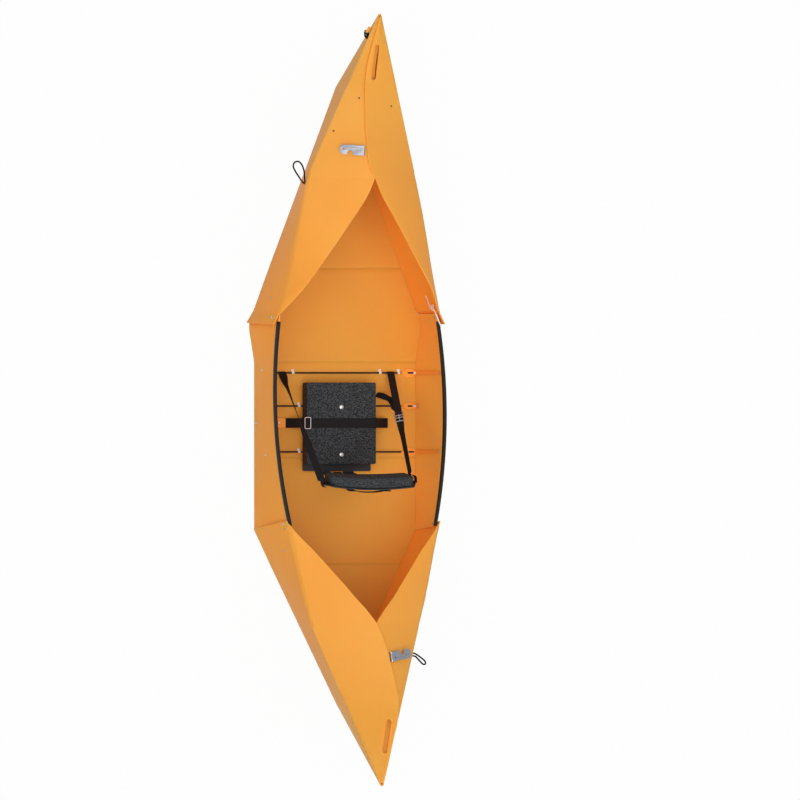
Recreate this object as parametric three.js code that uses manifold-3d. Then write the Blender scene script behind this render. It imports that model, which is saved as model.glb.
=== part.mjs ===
// A folding kayak: one bent plastic sheet closed by two overlapping decks, with cross rods, braces,
// a strapped-down foam seat and a folding backrest. Millimetres, +X starboard, +Y bow, +Z up.
// The origin is under the middle of the hull, level with the flat floor.
import * as THREE from 'three';
import { mergeVertices } from 'three/addons/utils/BufferGeometryUtils.js';
import Module from 'manifold-3d';

const wasm = await Module();
wasm.setup();

// Hull sheet
const halfLength = 1525; // from the middle to each stem
const halfChine = 343; // half width where the floor turns up into the sides
const wallFlare = 18;
const halfBeam = halfChine + wallFlare; // half width at the gunwale amidships
const gunwaleHeight = 278; // amidships
const bowHeight = 496;
const sternHeight = 520;
const sheet = 4.5; // wall of the plastic sheet
const seam = 0.5; // gap left along a fold between two panels
const wallBulge = 8; // how far a side bellies out between chine and gunwale
const wingLift = 2; // the loose lower corner of a side panel stays this far off the ground
const slantShare = 1.13; // a leaning side measures this much thicker straight across
const floorInset = slantShare * (sheet + seam);

// Gunwale rails
const railWidth = 14;
const railDrop = 17; // how far a rail reaches down the wall
const railCap = 5; // rail material above the wall's edge
const railClearance = 1;
const railCorner = 2.5;

// Cross rods and their clips
const rodRadius = 3;
const rodLift = 2.5; // free height under a rod
const rodEndInset = 55;
const rodStarboardEnd = halfChine - rodEndInset;
const clipWidth = 13;
const clipWall = 1.6;
const clipTab = 15; // length of the screwed tab
const clipScrewRadius = 4.5;
const clipScrewHeight = 3;

// Braces
const braceWidth = 42;
const braceTopWidth = 22;
const braceSheet = 3;
const braceFoot = 26; // length lying on the floor
const braceRise = 236; // height of the upper bolt
const middleBraceRise = 46;
const boltShank = 2.5;
const boltHead = 6.5;
const boltHeadHeight = 2.6;
const boltClearance = 0.35;
const boltSides = 10;
const boltCrownShare = 0.7; // flat part of a domed head
const lapLeanShare = 0.6; // a head on a leaning panel stands this share of its radius off it
const wallLeanShare = 0.12;

// Deck seams, latches and grab slots
const flapOverlap = 22; // how far the lower flap runs under the upper one
const slotLength = 138;
const slotWidth = 20;
const latchLength = 98;
const latchWidth = 40;
const latchPlate = 2.5;
const latchBarrel = 4;
const latchPin = 1.6;
const latchBaseLength = 26;
const latchBaseHeight = 3;
const latchNotch = 11; // half width of the hook-shaped cut-out
const latchNotchShare = 0.55; // where along the plate the cut-out lies
const latchSeamGap = 9; // from the seam to the base
const latchSides = 12;

// Seat
const seatWidth = 292;
const seatLength = 322;
const seatPadHeight = 50;
const seatFront = 69;
const boardHeight = 9;
const boardRearMargin = 28; // board behind the pad
const boardSide = 3; // pad overhang on each side
const seatCorner = 16;
const padCorner = 6;
const seatScrewRadius = 3;
const seatScrewHead = 7;
const seatScrewHeadHeight = 3;
const screwSides = 14;
const screwRimShare = 0.6;

// Backrest
const recline = 9; // degrees from upright
const hingeHeight = 24;
const hingeBehindBoard = 9;
const hingeBarrel = 6;
const hingePin = 2.6;
const hingeRunning = 0.35;
const neckWidth = 140;
const headWidth = 376;
const headLow = 290; // distance up the board from the hinge to the head
const headHigh = 412;
const backBoard = 5;
const backPadInset = 16; // from each end of the head
const backPadWidth = headWidth - 2 * backPadInset;
const backPadHeight = 42;
const backPadMargin = 4;

// Webbing
const webbing = 1.8;
const seatStrapWidth = 38;
const backStrapWidth = 30;
const strapReach = { 1: 9, '-1': 18 }; // each side's strap line outside the head's end
const ringWire = 2.4;
const ringSlot = 46;
const ringGap = 22;
const ringOverhang = 2; // how far inside the pad's edge the loop's middle lies
const buckleWidth = 34;
const buckleLength = 42;
const buckleHeight = 4;
const buckleBar = 6;
const rearBuckleShare = 0.2; // of the head's width

// Carry loops and hook
const cordRadius = 3;
const cordSides = 8;
const cordSteps = 28;
const hookWire = 1.8;

// Clearance between pieces that touch
const rest = 0.3;
const overrun = 20; // how far a cutting tool runs past the piece
const roundSides = 14;

// Materials
const colours = {
  deck: 0xf5ac50, inside: 0xdf8830, foam: 0x444346, black: 0x1c1c1e, metal: 0xc2c4c8, board: 0x2a2a2c,
  white: 0xe6e4df,
};
function paint(color, roughness, metalness = 0) {
  return new THREE.MeshStandardMaterial({ color, roughness, metalness });
}

const hullPlastic = paint(colours.deck, 0.55);
const bracePlastic = paint(colours.inside, 0.55);
const foam = paint(colours.foam, 0.95);
const blackPlastic = paint(colours.black, 0.6);
const webbingCloth = paint(colours.black, 0.9);
const steel = paint(colours.metal, 0.35, 1);
const whiteMetal = paint(colours.white, 0.4, 0.6);
const boardPlastic = paint(colours.board, 0.7);

const kayak = new THREE.Group();

// Stations along each end. y is a share of halfLength, x of halfChine and z of that end's height.
const bow = {
  forward: 1,
  upperSide: 1,
  height: bowHeight,
  cornerShare: 0.2354,
  footShare: 0.8105,
  footRiseShare: 0.04,
  rockerShare: 0.341,
  deckStartShare: 0.59,
  splitShare: 0.42,
  apexShare: 0.575,
  edgeStartShare: 0.2213,
  wingShares: [[0.197, 1.105], [0.2262, 1.024], [0.2354, 1.0]],
  shoulderShares: [
    [0.197, 1.06, 0.54], [0.2243, 1.0, 0.543], [0.267, 0.95, 0.556], [0.329, 0.889, 0.573],
    [0.393, 0.837, 0.58], [0.466, 0.776, 0.584], [0.525, 0.72, 0.588], [0.59, 0.65, 0.593],
  ],
  edgeShares: [
    [0.2213, 0.985, 0.552], [0.298, 0.767, 0.745], [0.36, 0.58, 0.8], [0.42, 0.405, 0.843],
    [0.46, 0.29, 0.866], [0.49, 0.2, 0.878], [0.525, 0.1, 0.886], [0.55, 0.045, 0.889], [0.575, 0, 0.89],
  ],
  ridgeShares: [
    [0.575, 0, 0.89], [0.59, -0.035, 0.89], [0.62, -0.085, 0.889], [0.65, -0.099, 0.885],
    [0.7, -0.099, 0.852], [0.75, -0.099, 0.836], [0.8105, -0.099, 0.833], [0.85, -0.099, 0.856],
    [0.878, -0.092, 0.888], [0.92, -0.066, 0.93], [0.958, -0.034, 0.966], [1, 0, 1],
  ],
  sideStationShares: [
    0.197, 0.2213, 0.2262, 0.2354, 0.267, 0.298, 0.36, 0.42, 0.43, 0.46, 0.49, 0.525, 0.55, 0.575,
    0.59, 0.62, 0.65, 0.7, 0.75, 0.8105, 0.85, 0.878, 0.92, 0.958, 1,
  ],
  slotShares: [[0.829, 0], [0.9193, 0]],
};
const stern = {
  forward: -1,
  upperSide: -1,
  height: sternHeight,
  cornerShare: 0.3364,
  footShare: 0.785,
  footRiseShare: 0.04,
  rockerShare: 0.426,
  deckStartShare: 0.59,
  splitShare: 0.445,
  apexShare: 0.58,
  edgeStartShare: 0.32,
  wingShares: [[0.3134, 1.034], [0.333, 1.022], [0.3364, 1.0]],
  shoulderShares: [
    [0.3134, 0.95, 0.602], [0.333, 0.93, 0.61], [0.3882, 0.872, 0.618], [0.445, 0.818, 0.624],
    [0.5115, 0.752, 0.633], [0.55, 0.706, 0.638], [0.59, 0.656, 0.644],
  ],
  edgeShares: [
    [0.32, 0.925, 0.611], [0.34, 0.862, 0.632], [0.3882, 0.673, 0.69], [0.445, 0.469, 0.765],
    [0.48, 0.345, 0.807], [0.5115, 0.239, 0.8365], [0.54, 0.13, 0.857], [0.565, 0.045, 0.87],
    [0.58, 0, 0.875],
  ],
  ridgeShares: [
    [0.58, 0, 0.875], [0.61, 0.06, 0.874], [0.645, 0.125, 0.866], [0.679, 0.175, 0.858], [0.73, 0.236, 0.845],
    [0.785, 0.283, 0.842], [0.829, 0.262, 0.866], [0.875, 0.192, 0.902], [0.9193, 0.124, 0.943],
    [0.958, 0.068, 0.971], [1, 0, 1],
  ],
  sideStationShares: [
    0.3134, 0.32, 0.333, 0.3364, 0.36, 0.3882, 0.42, 0.445, 0.455, 0.48, 0.5115, 0.54, 0.565, 0.58,
    0.59, 0.61, 0.645, 0.679, 0.73, 0.785, 0.829, 0.875, 0.9193, 0.958, 0.985, 1,
  ],
  slotShares: [[0.8236, 0.165], [0.9193, 0.052]],
};
const sectionColumns = 8;
const sectionSteps = 12;
const deckColumns = 6;
const deckBulgeShare = 0.15;
const stemHalf = sheet + rest / 2;
const flapDrop = 1.7 * sheet;
const lapLift = 1.25 * sheet + seam;
const upperFlapEndShare = 0.992;
const lowerFlapEndShare = 0.958;
const foldCornerShare = 0.027; // stretch at the fold's end where the flap is cut back further
const foldCornerGap = 1.8 * sheet;
// Between a flap and the fixed deck beside it, by end
const flapGaps = new Map([[1, 0.308 * sheet], [-1, 0.29 * sheet]]);
const freeCornerShare = 0.018; // stretch at a flap's free end where its corner is cut back
const freeCornerGap = 0.5 * sheet;
const lapRiseShare = 0.8; // of a flap's width, over which it rises to its lap
const flapSteps = 24;
const foldLineShare = 0.098;
const floorEndGapShare = 0.006;

// Numbers

function readTable(rows, at, column) {
  if (at <= rows[0][0]) return rows[0][column];
  const last = rows[rows.length - 1];
  if (at >= last[0]) return last[column];
  const next = rows.findIndex((row) => row[0] > at);
  const [low, high] = [rows[next - 1], rows[next]];
  return THREE.MathUtils.mapLinear(at, low[0], high[0], low[column], high[column]);
}

const smoothShare = (share) => THREE.MathUtils.smoothstep(share, 0, 1);

function mixed(a, b, share) {
  return new THREE.Vector3().lerpVectors(a, b, share);
}

function spread(from, to, count) {
  return Array.from({ length: count + 1 }, (_, i) => from + ((to - from) * i) / count);
}

const corner2 = ([x, y]) => new THREE.Vector2(x, y);

// Hull lines. Each takes an end and a station share and gives a point for the starboard side.

function chinePoint(end, at) {
  const { cornerShare, footShare, footRiseShare, rockerShare, wingShares, height } = end;
  const y = at * halfLength;
  const footRise = footRiseShare * height;
  if (at > footShare) {
    const share = (at - footShare) / (1 - footShare);
    const stemTop = height - 2 * flapDrop;
    return new THREE.Vector3(stemHalf, y, THREE.MathUtils.lerp(footRise, stemTop, share));
  }
  const z = footRise * Math.max(0, (at - rockerShare) / (footShare - rockerShare));
  if (at < cornerShare) return new THREE.Vector3(halfChine * readTable(wingShares, at, 1), y, z + wingLift);
  const share = (at - cornerShare) / (footShare - cornerShare);
  return new THREE.Vector3(THREE.MathUtils.lerp(halfChine, stemHalf, share), y, z);
}

function shoulderPoint(end, at) {
  const { deckStartShare, shoulderShares, height } = end;
  const x = halfChine * readTable(shoulderShares, at, 1);
  const z = height * readTable(shoulderShares, at, 2);
  const start = new THREE.Vector3(x, at * halfLength, z);
  if (at <= deckStartShare) return start;
  start.y = deckStartShare * halfLength;
  const tip = new THREE.Vector3(stemHalf, halfLength, height);
  return mixed(start, tip, (at - deckStartShare) / (1 - deckStartShare));
}

// The inner edge of a deck half: the cockpit's V up to its apex, then the seam between the two flaps
function innerPoint(end, side, at) {
  const beforeApex = at < end.apexShare;
  const table = beforeApex ? end.edgeShares : end.ridgeShares;
  const x = halfChine * readTable(table, at, 1) * (beforeApex ? side : 1);
  return new THREE.Vector3(x, at * halfLength, end.height * readTable(table, at, 2));
}

function deckPoint(end, side, at, share) {
  const outer = shoulderPoint(end, at);
  outer.x *= side;
  const inner = innerPoint(end, side, at);
  if (share > 1) {
    const past = (share - 1) * Math.abs(inner.x - outer.x);
    const otherWidth = Math.abs(inner.x + outer.x);
    return deckPoint(end, -side, at, 1 - past / otherWidth);
  }
  const point = mixed(outer, inner, share);
  point.z += (inner.z - outer.z) * 2 * deckBulgeShare * share * (1 - share);
  return point;
}

function splitAt(end, at) {
  const { splitShare, deckStartShare } = end;
  return THREE.MathUtils.clamp((deckStartShare - at) / (deckStartShare - splitShare), 0, 1);
}

function deckWidth(end, side, at) {
  const outer = shoulderPoint(end, at);
  outer.x *= side;
  return outer.distanceTo(innerPoint(end, side, at));
}

// A section drawn as many small steps, then read again at equal distances
function evenly(points, count) {
  const lengths = [0];
  for (let i = 1; i < points.length; i += 1) {
    lengths.push(lengths[i - 1] + points[i].distanceTo(points[i - 1]));
  }
  const total = lengths[points.length - 1];
  return Array.from({ length: count + 1 }, (_, i) => {
    const goal = (total * i) / count;
    const next = Math.max(1, lengths.findIndex((length) => length >= goal - Number.EPSILON * total));
    const share = (goal - lengths[next - 1]) / (lengths[next] - lengths[next - 1]);
    return mixed(points[next - 1], points[next], THREE.MathUtils.clamp(share, 0, 1));
  });
}

function turned(end, point) {
  return new THREE.Vector3(point.x, point.y * end.forward, point.z);
}

// Solids

function closedBody(positions, triangles) {
  const geometry = new THREE.BufferGeometry();
  geometry.setAttribute('position', new THREE.Float32BufferAttribute(positions, 3));
  geometry.setIndex(triangles);
  return facingOut(geometry);
}

function volumeOf(geometry) {
  const { position } = geometry.attributes;
  const corners = [new THREE.Vector3(), new THREE.Vector3(), new THREE.Vector3()];
  let total = 0;
  for (let i = 0; i < geometry.index.count; i += 3) {
    corners.forEach((corner, k) => corner.fromBufferAttribute(position, geometry.index.getX(i + k)));
    total += corners[0].dot(corners[1].clone().cross(corners[2]));
  }
  return total;
}

function facingOut(geometry) {
  if (volumeOf(geometry) > 0) return geometry;
  const index = Array.from(geometry.index.array);
  for (let i = 0; i < index.length; i += 3) [index[i], index[i + 1]] = [index[i + 1], index[i]];
  geometry.setIndex(index);
  return geometry;
}

function outerNormal(rows, i, j) {
  const last = [rows.length - 1, rows[0].length - 1];
  const along = rows[Math.min(i + 1, last[0])][j].clone().sub(rows[Math.max(i - 1, 0)][j]);
  const across = rows[i][Math.min(j + 1, last[1])].clone().sub(rows[i][Math.max(j - 1, 0)]);
  return along.cross(across).normalize();
}

// A sheet of even thickness: rows of points on one face, the other face set off along the normals
function sheetBody(rows, thickness, towards) {
  const across = rows[0].length;
  const positions = [];
  const normals = rows.map((row, i) => row.map((_, j) => outerNormal(rows, i, j)));
  const middle = normals[Math.floor(rows.length / 2)][Math.floor(across / 2)];
  const way = Math.sign(middle.dot(towards)) * thickness;
  rows.forEach((row) => row.forEach((point) => positions.push(point.x, point.y, point.z)));
  rows.forEach((row, i) => row.forEach((point, j) => {
    const other = point.clone().addScaledVector(normals[i][j], way);
    positions.push(other.x, other.y, other.z);
  }));
  const offset = rows.length * across;
  const triangles = [];
  const quad = (a, b, c, d) => triangles.push(a, b, c, a, c, d);
  for (let i = 0; i < rows.length - 1; i += 1) {
    for (let j = 0; j < across - 1; j += 1) {
      const a = i * across + j;
      quad(a, a + 1, a + across + 1, a + across);
      quad(offset + a, offset + a + across, offset + a + across + 1, offset + a + 1);
    }
    const [left, right] = [i * across, i * across + across - 1];
    quad(left, left + across, offset + left + across, offset + left);
    quad(right, offset + right, offset + right + across, right + across);
  }
  const lastRow = (rows.length - 1) * across;
  for (let j = 0; j < across - 1; j += 1) {
    quad(j, offset + j, offset + j + 1, j + 1);
    quad(lastRow + j, lastRow + j + 1, offset + lastRow + j + 1, offset + lastRow + j);
  }
  return closedBody(positions, triangles);
}

// A closed section carried along frames of { at, out, up }
function sweep(section, frames) {
  const positions = [];
  frames.forEach(({ at, out, up }) => section.forEach((corner) => {
    const point = at.clone().addScaledVector(out, corner.x).addScaledVector(up, corner.y);
    positions.push(point.x, point.y, point.z);
  }));
  const count = section.length;
  const triangles = [];
  for (let i = 0; i < frames.length - 1; i += 1) {
    for (let j = 0; j < count; j += 1) {
      const [a, b] = [i * count + j, i * count + ((j + 1) % count)];
      const facingFirst = j < count / 2; // both faces of a thin band are split along the same diagonal
      if (facingFirst) triangles.push(a, b, b + count, a, b + count, a + count);
      else triangles.push(a, b, a + count, b, b + count, a + count);
    }
  }
  const lastRing = (frames.length - 1) * count;
  THREE.ShapeUtils.triangulateShape(section, []).forEach(([a, b, c]) => {
    triangles.push(a, c, b, lastRing + a, lastRing + b, lastRing + c);
  });
  return closedBody(positions, triangles);
}

function aheadOf(points, i) {
  const next = points[Math.min(i + 1, points.length - 1)];
  return next.clone().sub(points[Math.max(i - 1, 0)]).normalize();
}

function bandSection(width, thickness) {
  const [w, h] = [width / 2, thickness / 2];
  return [[-w, -h], [w, -h], [w, h], [-w, h]].map(corner2);
}

// A flat strap: a thin rectangle carried along points, its width along a direction given at each point
function strapBody(points, widthWays, width, thickness = webbing) {
  const frames = points.map((at, i) => {
    const ahead = aheadOf(points, i);
    const out = widthWays[i].clone().addScaledVector(ahead, -widthWays[i].dot(ahead)).normalize();
    return { at, out, up: ahead.clone().cross(out) };
  });
  return sweep(bandSection(width, thickness), frames);
}

function bare(geometry) {
  const plain = geometry.clone();
  plain.deleteAttribute('normal');
  plain.deleteAttribute('uv');
  return mergeVertices(plain, 1e-4);
}

function solid(geometry) {
  const plain = bare(geometry);
  const vertProperties = new Float32Array(plain.attributes.position.array);
  const triVerts = new Uint32Array(plain.index.array);
  return new wasm.Manifold(new wasm.Mesh({ numProp: 3, vertProperties, triVerts }));
}

function fromSolid(body) {
  const mesh = body.getMesh();
  const geometry = new THREE.BufferGeometry();
  geometry.setAttribute('position', new THREE.BufferAttribute(mesh.vertProperties, 3));
  geometry.setIndex(new THREE.BufferAttribute(mesh.triVerts, 1));
  return geometry;
}

function cut(geometry, ...tools) {
  return fromSolid(tools.reduce((body, tool) => body.subtract(solid(tool)), solid(geometry)));
}

function join(geometry, ...more) {
  return fromSolid(more.reduce((body, other) => body.add(solid(other)), solid(geometry)));
}

function moved(geometry, x, y, z) {
  return geometry.clone().translate(x, y, z);
}

function roundedPlate(width, length, height, corner, cornerSteps = 3) {
  const [w, l] = [width / 2, length / 2];
  const shape = new THREE.Shape();
  shape.moveTo(corner - w, -l);
  shape.lineTo(w - corner, -l);
  shape.absarc(w - corner, corner - l, corner, -Math.PI / 2, 0);
  shape.absarc(w - corner, l - corner, corner, 0, Math.PI / 2);
  shape.absarc(corner - w, l - corner, corner, Math.PI / 2, Math.PI);
  shape.absarc(corner - w, corner - l, corner, Math.PI, Math.PI * 1.5);
  return new THREE.ExtrudeGeometry(shape, { depth: height, bevelEnabled: false, curveSegments: cornerSteps });
}

function bar(radius, length, sides = roundSides) {
  return new THREE.CylinderGeometry(radius, radius, length, sides);
}

function barAlongX(radius, length) {
  return bar(radius, length).rotateZ(Math.PI / 2);
}

function block(length, width, height, x, y, z) {
  return new THREE.BoxGeometry(length, width, height).translate(x, y, z);
}

function turnedBody(profile, sides) {
  return facingOut(bare(new THREE.LatheGeometry(profile.map(corner2), sides)));
}

// A bolt along +Y from its outer head to its nut, lying from 0 to -grip
function boltBody(grip) {
  return turnedBody([
    [0, boltHeadHeight], [boltHead * boltCrownShare, boltHeadHeight], [boltHead, 0], [boltShank, 0],
    [boltShank, -grip], [boltHead, -grip], [boltHead, -grip - boltHeadHeight], [0, -grip - boltHeadHeight],
  ], boltSides);
}

// A bolt and its hole through the hull's side, the head's seat at the given point
function sideBolt(side, seat, grip) {
  const place = (geometry) => geometry.rotateZ(-side * Math.PI / 2).translate(seat.x, seat.y, seat.z);
  const hole = bar(boltShank + boltClearance, grip + 2 * overrun, boltSides).translate(0, -grip / 2, 0);
  return { bolt: place(boltBody(grip)), hole: place(hole) };
}

function cordBody(points, radius) {
  const angles = spread(0, 2 * Math.PI, cordSides).slice(1);
  const ring = new THREE.Shape(angles.map((a) => corner2([radius * Math.cos(a), radius * Math.sin(a)])));
  const route = points.map(([x, y, z]) => new THREE.Vector3(x, y, z));
  const extrudePath = new THREE.CatmullRomCurve3(route);
  return new THREE.ExtrudeGeometry(ring, { extrudePath, steps: cordSteps, bevelEnabled: false });
}

function add(name, geometry, material, parent = kayak) {
  const mesh = new THREE.Mesh(geometry, material);
  mesh.name = name;
  parent.add(mesh);
  return mesh;
}

// Hull panels

const sideNames = { 1: 'starboard', '-1': 'port' };
const outwards = (side) => new THREE.Vector3(side, 0, 0);

function sideSection(end, side, at) {
  const low = chinePoint(end, at);
  low.z += seam;
  const high = shoulderPoint(end, at);
  const onDeck = at > end.deckStartShare - Number.EPSILON;
  if (onDeck) high.addScaledVector(low.clone().sub(high).normalize(), flapDrop);
  const points = spread(0, 1, sectionSteps).map((share) => {
    const point = mixed(low, high, share);
    point.x += wallBulge * Math.sin(Math.PI * share) * Math.min(1, high.x / halfChine) ** 2;
    point.x *= side;
    return point;
  });
  if (!onDeck && at > end.edgeStartShare) {
    const deckShares = spread(0, splitAt(end, at), sectionSteps).slice(1);
    points.push(...deckShares.map((share) => deckPoint(end, side, at, share)));
  }
  return evenly(points, sectionColumns);
}

function sidePanel(end, side) {
  const section = (at) => sideSection(end, side, at).map((point) => turned(end, point));
  const rows = end.sideStationShares.map(section);
  return sheetBody(rows, sheet, outwards(-side));
}

function edgeGap(end, at) {
  if (at > end.deckStartShare - foldCornerShare) return foldCornerGap;
  return at < end.splitShare + freeCornerShare ? freeCornerGap : flapGaps.get(end.forward);
}

// The shares of the deck's width at which a flap's section starts and ends
function flapSpan(end, side, at) {
  const width = deckWidth(end, side, at);
  const from = at > end.deckStartShare ? 0 : splitAt(end, at) + edgeGap(end, at) / width;
  if (side === end.upperSide) return [from, 1];
  const beyondApex = THREE.MathUtils.clamp((at - end.apexShare) / (1 - end.deckStartShare), 0, 1);
  const half = shoulderPoint(end, at).x;
  const tuck = Math.min(flapOverlap, half * beyondApex, half * deckBulgeShare);
  return [from, 1 + tuck / width];
}

// How far the upper flap rises at its inner edge to lie over the lower one
function lapRise(end, at, share) {
  const alongShare = (at - end.splitShare) / (end.apexShare - end.splitShare);
  return lapLift * smoothShare(share / lapRiseShare) * smoothShare(alongShare);
}

function flapSection(end, side, at) {
  const [from, to] = flapSpan(end, side, at);
  const points = spread(from, to, flapSteps).map((share) => {
    const point = deckPoint(end, side, at, share);
    if (side === end.upperSide) point.z += lapRise(end, at, share);
    return point;
  });
  return evenly(points, deckColumns).map((point) => turned(end, point));
}

function deckFlap(end, side) {
  const endShare = side === end.upperSide ? upperFlapEndShare : lowerFlapEndShare;
  const inside = end.sideStationShares.filter((at) => at > end.splitShare && at < endShare);
  const rows = [...inside, endShare].map((at) => flapSection(end, side, at));
  return sheetBody(rows, sheet, new THREE.Vector3(0, 0, -1));
}

function grabSlot(end) {
  const toPlan = ([y, x]) => corner2([x * halfChine, y * halfLength * end.forward]);
  const [near, far] = end.slotShares.map(toPlan);
  const along = far.clone().sub(near);
  const middle = near.clone().add(far).multiplyScalar(0.5);
  const cutter = roundedPlate(slotWidth, slotLength, end.height, slotWidth / 2 - Number.EPSILON);
  cutter.rotateZ(Math.atan2(along.y, along.x) - Math.PI / 2);
  return cutter.translate(middle.x, middle.y, end.height / 2);
}

// The middle's half width, [y share, share of halfChine]: it swells inside the bow's wings
const middleShares = [[0.098, 1], [0.145, 1.033], [0.19, 1.062], [0.205, 1.05], [0.2235, 1.006]];

function middleHalf(at) {
  const [first, last] = [middleShares[0], middleShares[middleShares.length - 1]];
  const within = THREE.MathUtils.clamp(at, first[0], last[0]);
  return halfChine * readTable(middleShares, within, 1);
}

function floorHalf(end, at) {
  const half = at < end.cornerShare ? middleHalf(at) : chinePoint(end, at).x;
  return half - floorInset;
}

function floorPanel(end, from, to) {
  const turns = [...middleShares.map(([at]) => at), end.cornerShare];
  const stations = [from, ...turns.filter((at) => at > from && at < to), to];
  const rows = stations.map((at) => {
    const z = chinePoint(end, Math.max(at, end.cornerShare)).z;
    const half = floorHalf(end, at);
    return [-half, 0, half].map((x) => turned(end, new THREE.Vector3(x, at * halfLength, z)));
  });
  return sheetBody(rows, sheet, new THREE.Vector3(0, 0, 1));
}

function middleFloor() {
  const fold = foldLineShare * halfLength;
  const stations = [
    [fold - seam, halfChine], [-stern.cornerShare * halfLength, halfChine],
    [seam - stern.rockerShare * halfLength, chinePoint(stern, stern.rockerShare).x],
  ];
  const rows = stations.map(([y, half]) => {
    const inner = half - floorInset;
    return [-inner, 0, inner].map((x) => new THREE.Vector3(x, y, 0));
  });
  return sheetBody(rows, sheet, new THREE.Vector3(0, 0, 1));
}

// Gunwale line: three stations [y share, x share of halfBeam, z share of gunwaleHeight], joined by a parabola
const gunwaleShares = [[0.194, 0.942, 0.942], [0, 1, 1], [-0.311, 0.867, 1.108]];

function gunwalePoint(at) {
  const weights = gunwaleShares.map((row) => {
    const others = gunwaleShares.filter((other) => other !== row);
    return others.reduce((product, other) => (product * (at - other[0])) / (row[0] - other[0]), 1);
  });
  const value = (column) => gunwaleShares.reduce((sum, row, i) => sum + weights[i] * row[column], 0);
  return new THREE.Vector3(halfBeam * value(1), at * halfLength, gunwaleHeight * value(2));
}

const wallRows = 4;
const wallColumns = 12;
const wallTopShare = 1 - 1 / wallRows;
const wallFrom = -0.326;
const wallTo = 0.2235;
const railFrom = -0.308;
const railTo = 0.19;

function wallPoint(side, at, share) {
  const low = new THREE.Vector3(middleHalf(at), at * halfLength, seam);
  const point = mixed(low, gunwalePoint(at), share);
  point.x += (wallBulge / 2) * Math.sin(Math.PI * share);
  point.x *= side;
  return point;
}

function wall(side) {
  const heightShares = spread(0, 1, wallRows);
  const turns = middleShares.map(([at]) => at);
  const even = spread(wallFrom, turns[0], wallColumns - 2);
  const stations = [...even, ...turns.slice(1)];
  const rows = stations.map((at) => heightShares.map((share) => wallPoint(side, at, share)));
  return sheetBody(rows, sheet, outwards(-side));
}

function rail(side) {
  const inner = -(railWidth + sheet) / 2;
  const outer = inner + railWidth;
  const [slotIn, slotOut] = [-sheet - railClearance, railClearance];
  const section = [
    [inner, -railDrop], [slotIn, -railDrop], [slotIn, railClearance], [slotOut, railClearance],
    [slotOut, -railDrop], [outer, -railDrop], [outer, railCap - railCorner], [outer - railCorner, railCap],
    [inner + railCorner, railCap], [inner, railCap - railCorner],
  ].map(corner2);
  const frames = spread(railFrom, railTo, wallColumns).map((at) => {
    const top = wallPoint(side, at, 1);
    const up = top.clone().sub(wallPoint(side, at, wallTopShare)).normalize();
    const out = outwards(side).addScaledVector(up, -outwards(side).dot(up)).normalize();
    return { at: top, out, up };
  });
  return sweep(section, frames);
}

const endNames = new Map([[bow, 'bow'], [stern, 'stern']]);
for (const [end, endName] of endNames) {
  for (const side of [-1, 1]) {
    const flap = deckFlap(end, side);
    const isUpper = side === end.upperSide;
    add(`${endName}_${sideNames[side]}_flap`, isUpper ? cut(flap, grabSlot(end)) : flap, hullPlastic);
  }
}

// Bolts through the lapped panels, each [end, side, y share, height share of the gunwale]
const lapBoltShares = [
  [bow, -1, 0.2135, 0.83], [bow, 1, 0.2135, 0.83],
  [stern, -1, 0.3215, 1.01], [stern, 1, 0.3215, 1.01],
];

function lapBolt(end, side, at, heightShare) {
  const z = heightShare * gunwaleHeight;
  const station = at * end.forward;
  const section = sideSection(end, side, at);
  const above = section.findIndex((point) => point.z > z);
  const [low, high] = [section[above - 1], section[above]];
  const outerX = THREE.MathUtils.mapLinear(z, low.z, high.z, low.x, high.x);
  const wallX = wallPoint(side, station, z / gunwalePoint(station).z).x;
  const lean = boltHead * lapLeanShare;
  const grip = Math.abs(outerX - wallX) + sheet + 2 * lean;
  const seat = new THREE.Vector3(outerX + side * lean, station * halfLength, z);
  return { end, side, ...sideBolt(side, seat, grip) };
}

const lapBolts = lapBoltShares.map((shares) => lapBolt(...shares));
for (const { end, side, bolt, hole } of lapBolts) {
  const panel = `${endNames.get(end)}_${sideNames[side]}`;
  add(`${panel}_side`, cut(sidePanel(end, side), hole), hullPlastic);
  add(`${panel}_lap_bolt`, bolt, steel);
}

add('floor_middle', middleFloor(), hullPlastic);
add('floor_fore', floorPanel(bow, foldLineShare, bow.rockerShare - seam / halfLength), hullPlastic);
add('floor_bow', floorPanel(bow, bow.rockerShare, bow.footShare - floorEndGapShare), hullPlastic);
add('floor_stern', floorPanel(stern, stern.rockerShare, stern.footShare - floorEndGapShare), hullPlastic);

// Cross rods and the saddle clips that hold them to the floor

const floorTop = sheet + rest;
const rodHeight = floorTop + rodLift + rodRadius;
const rodShares = { front: 0.0702, middle: -0.0157, rear: -0.1344 };
const rodPortEnd = sheet + 2 * seam - halfChine;

for (const [name, share] of Object.entries(rodShares)) {
  const length = rodStarboardEnd - rodPortEnd;
  const rod = barAlongX(rodRadius, length);
  add(`${name}_rod`, rod, blackPlastic).position.set(rodPortEnd + length / 2, share * halfLength, rodHeight);
}

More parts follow.
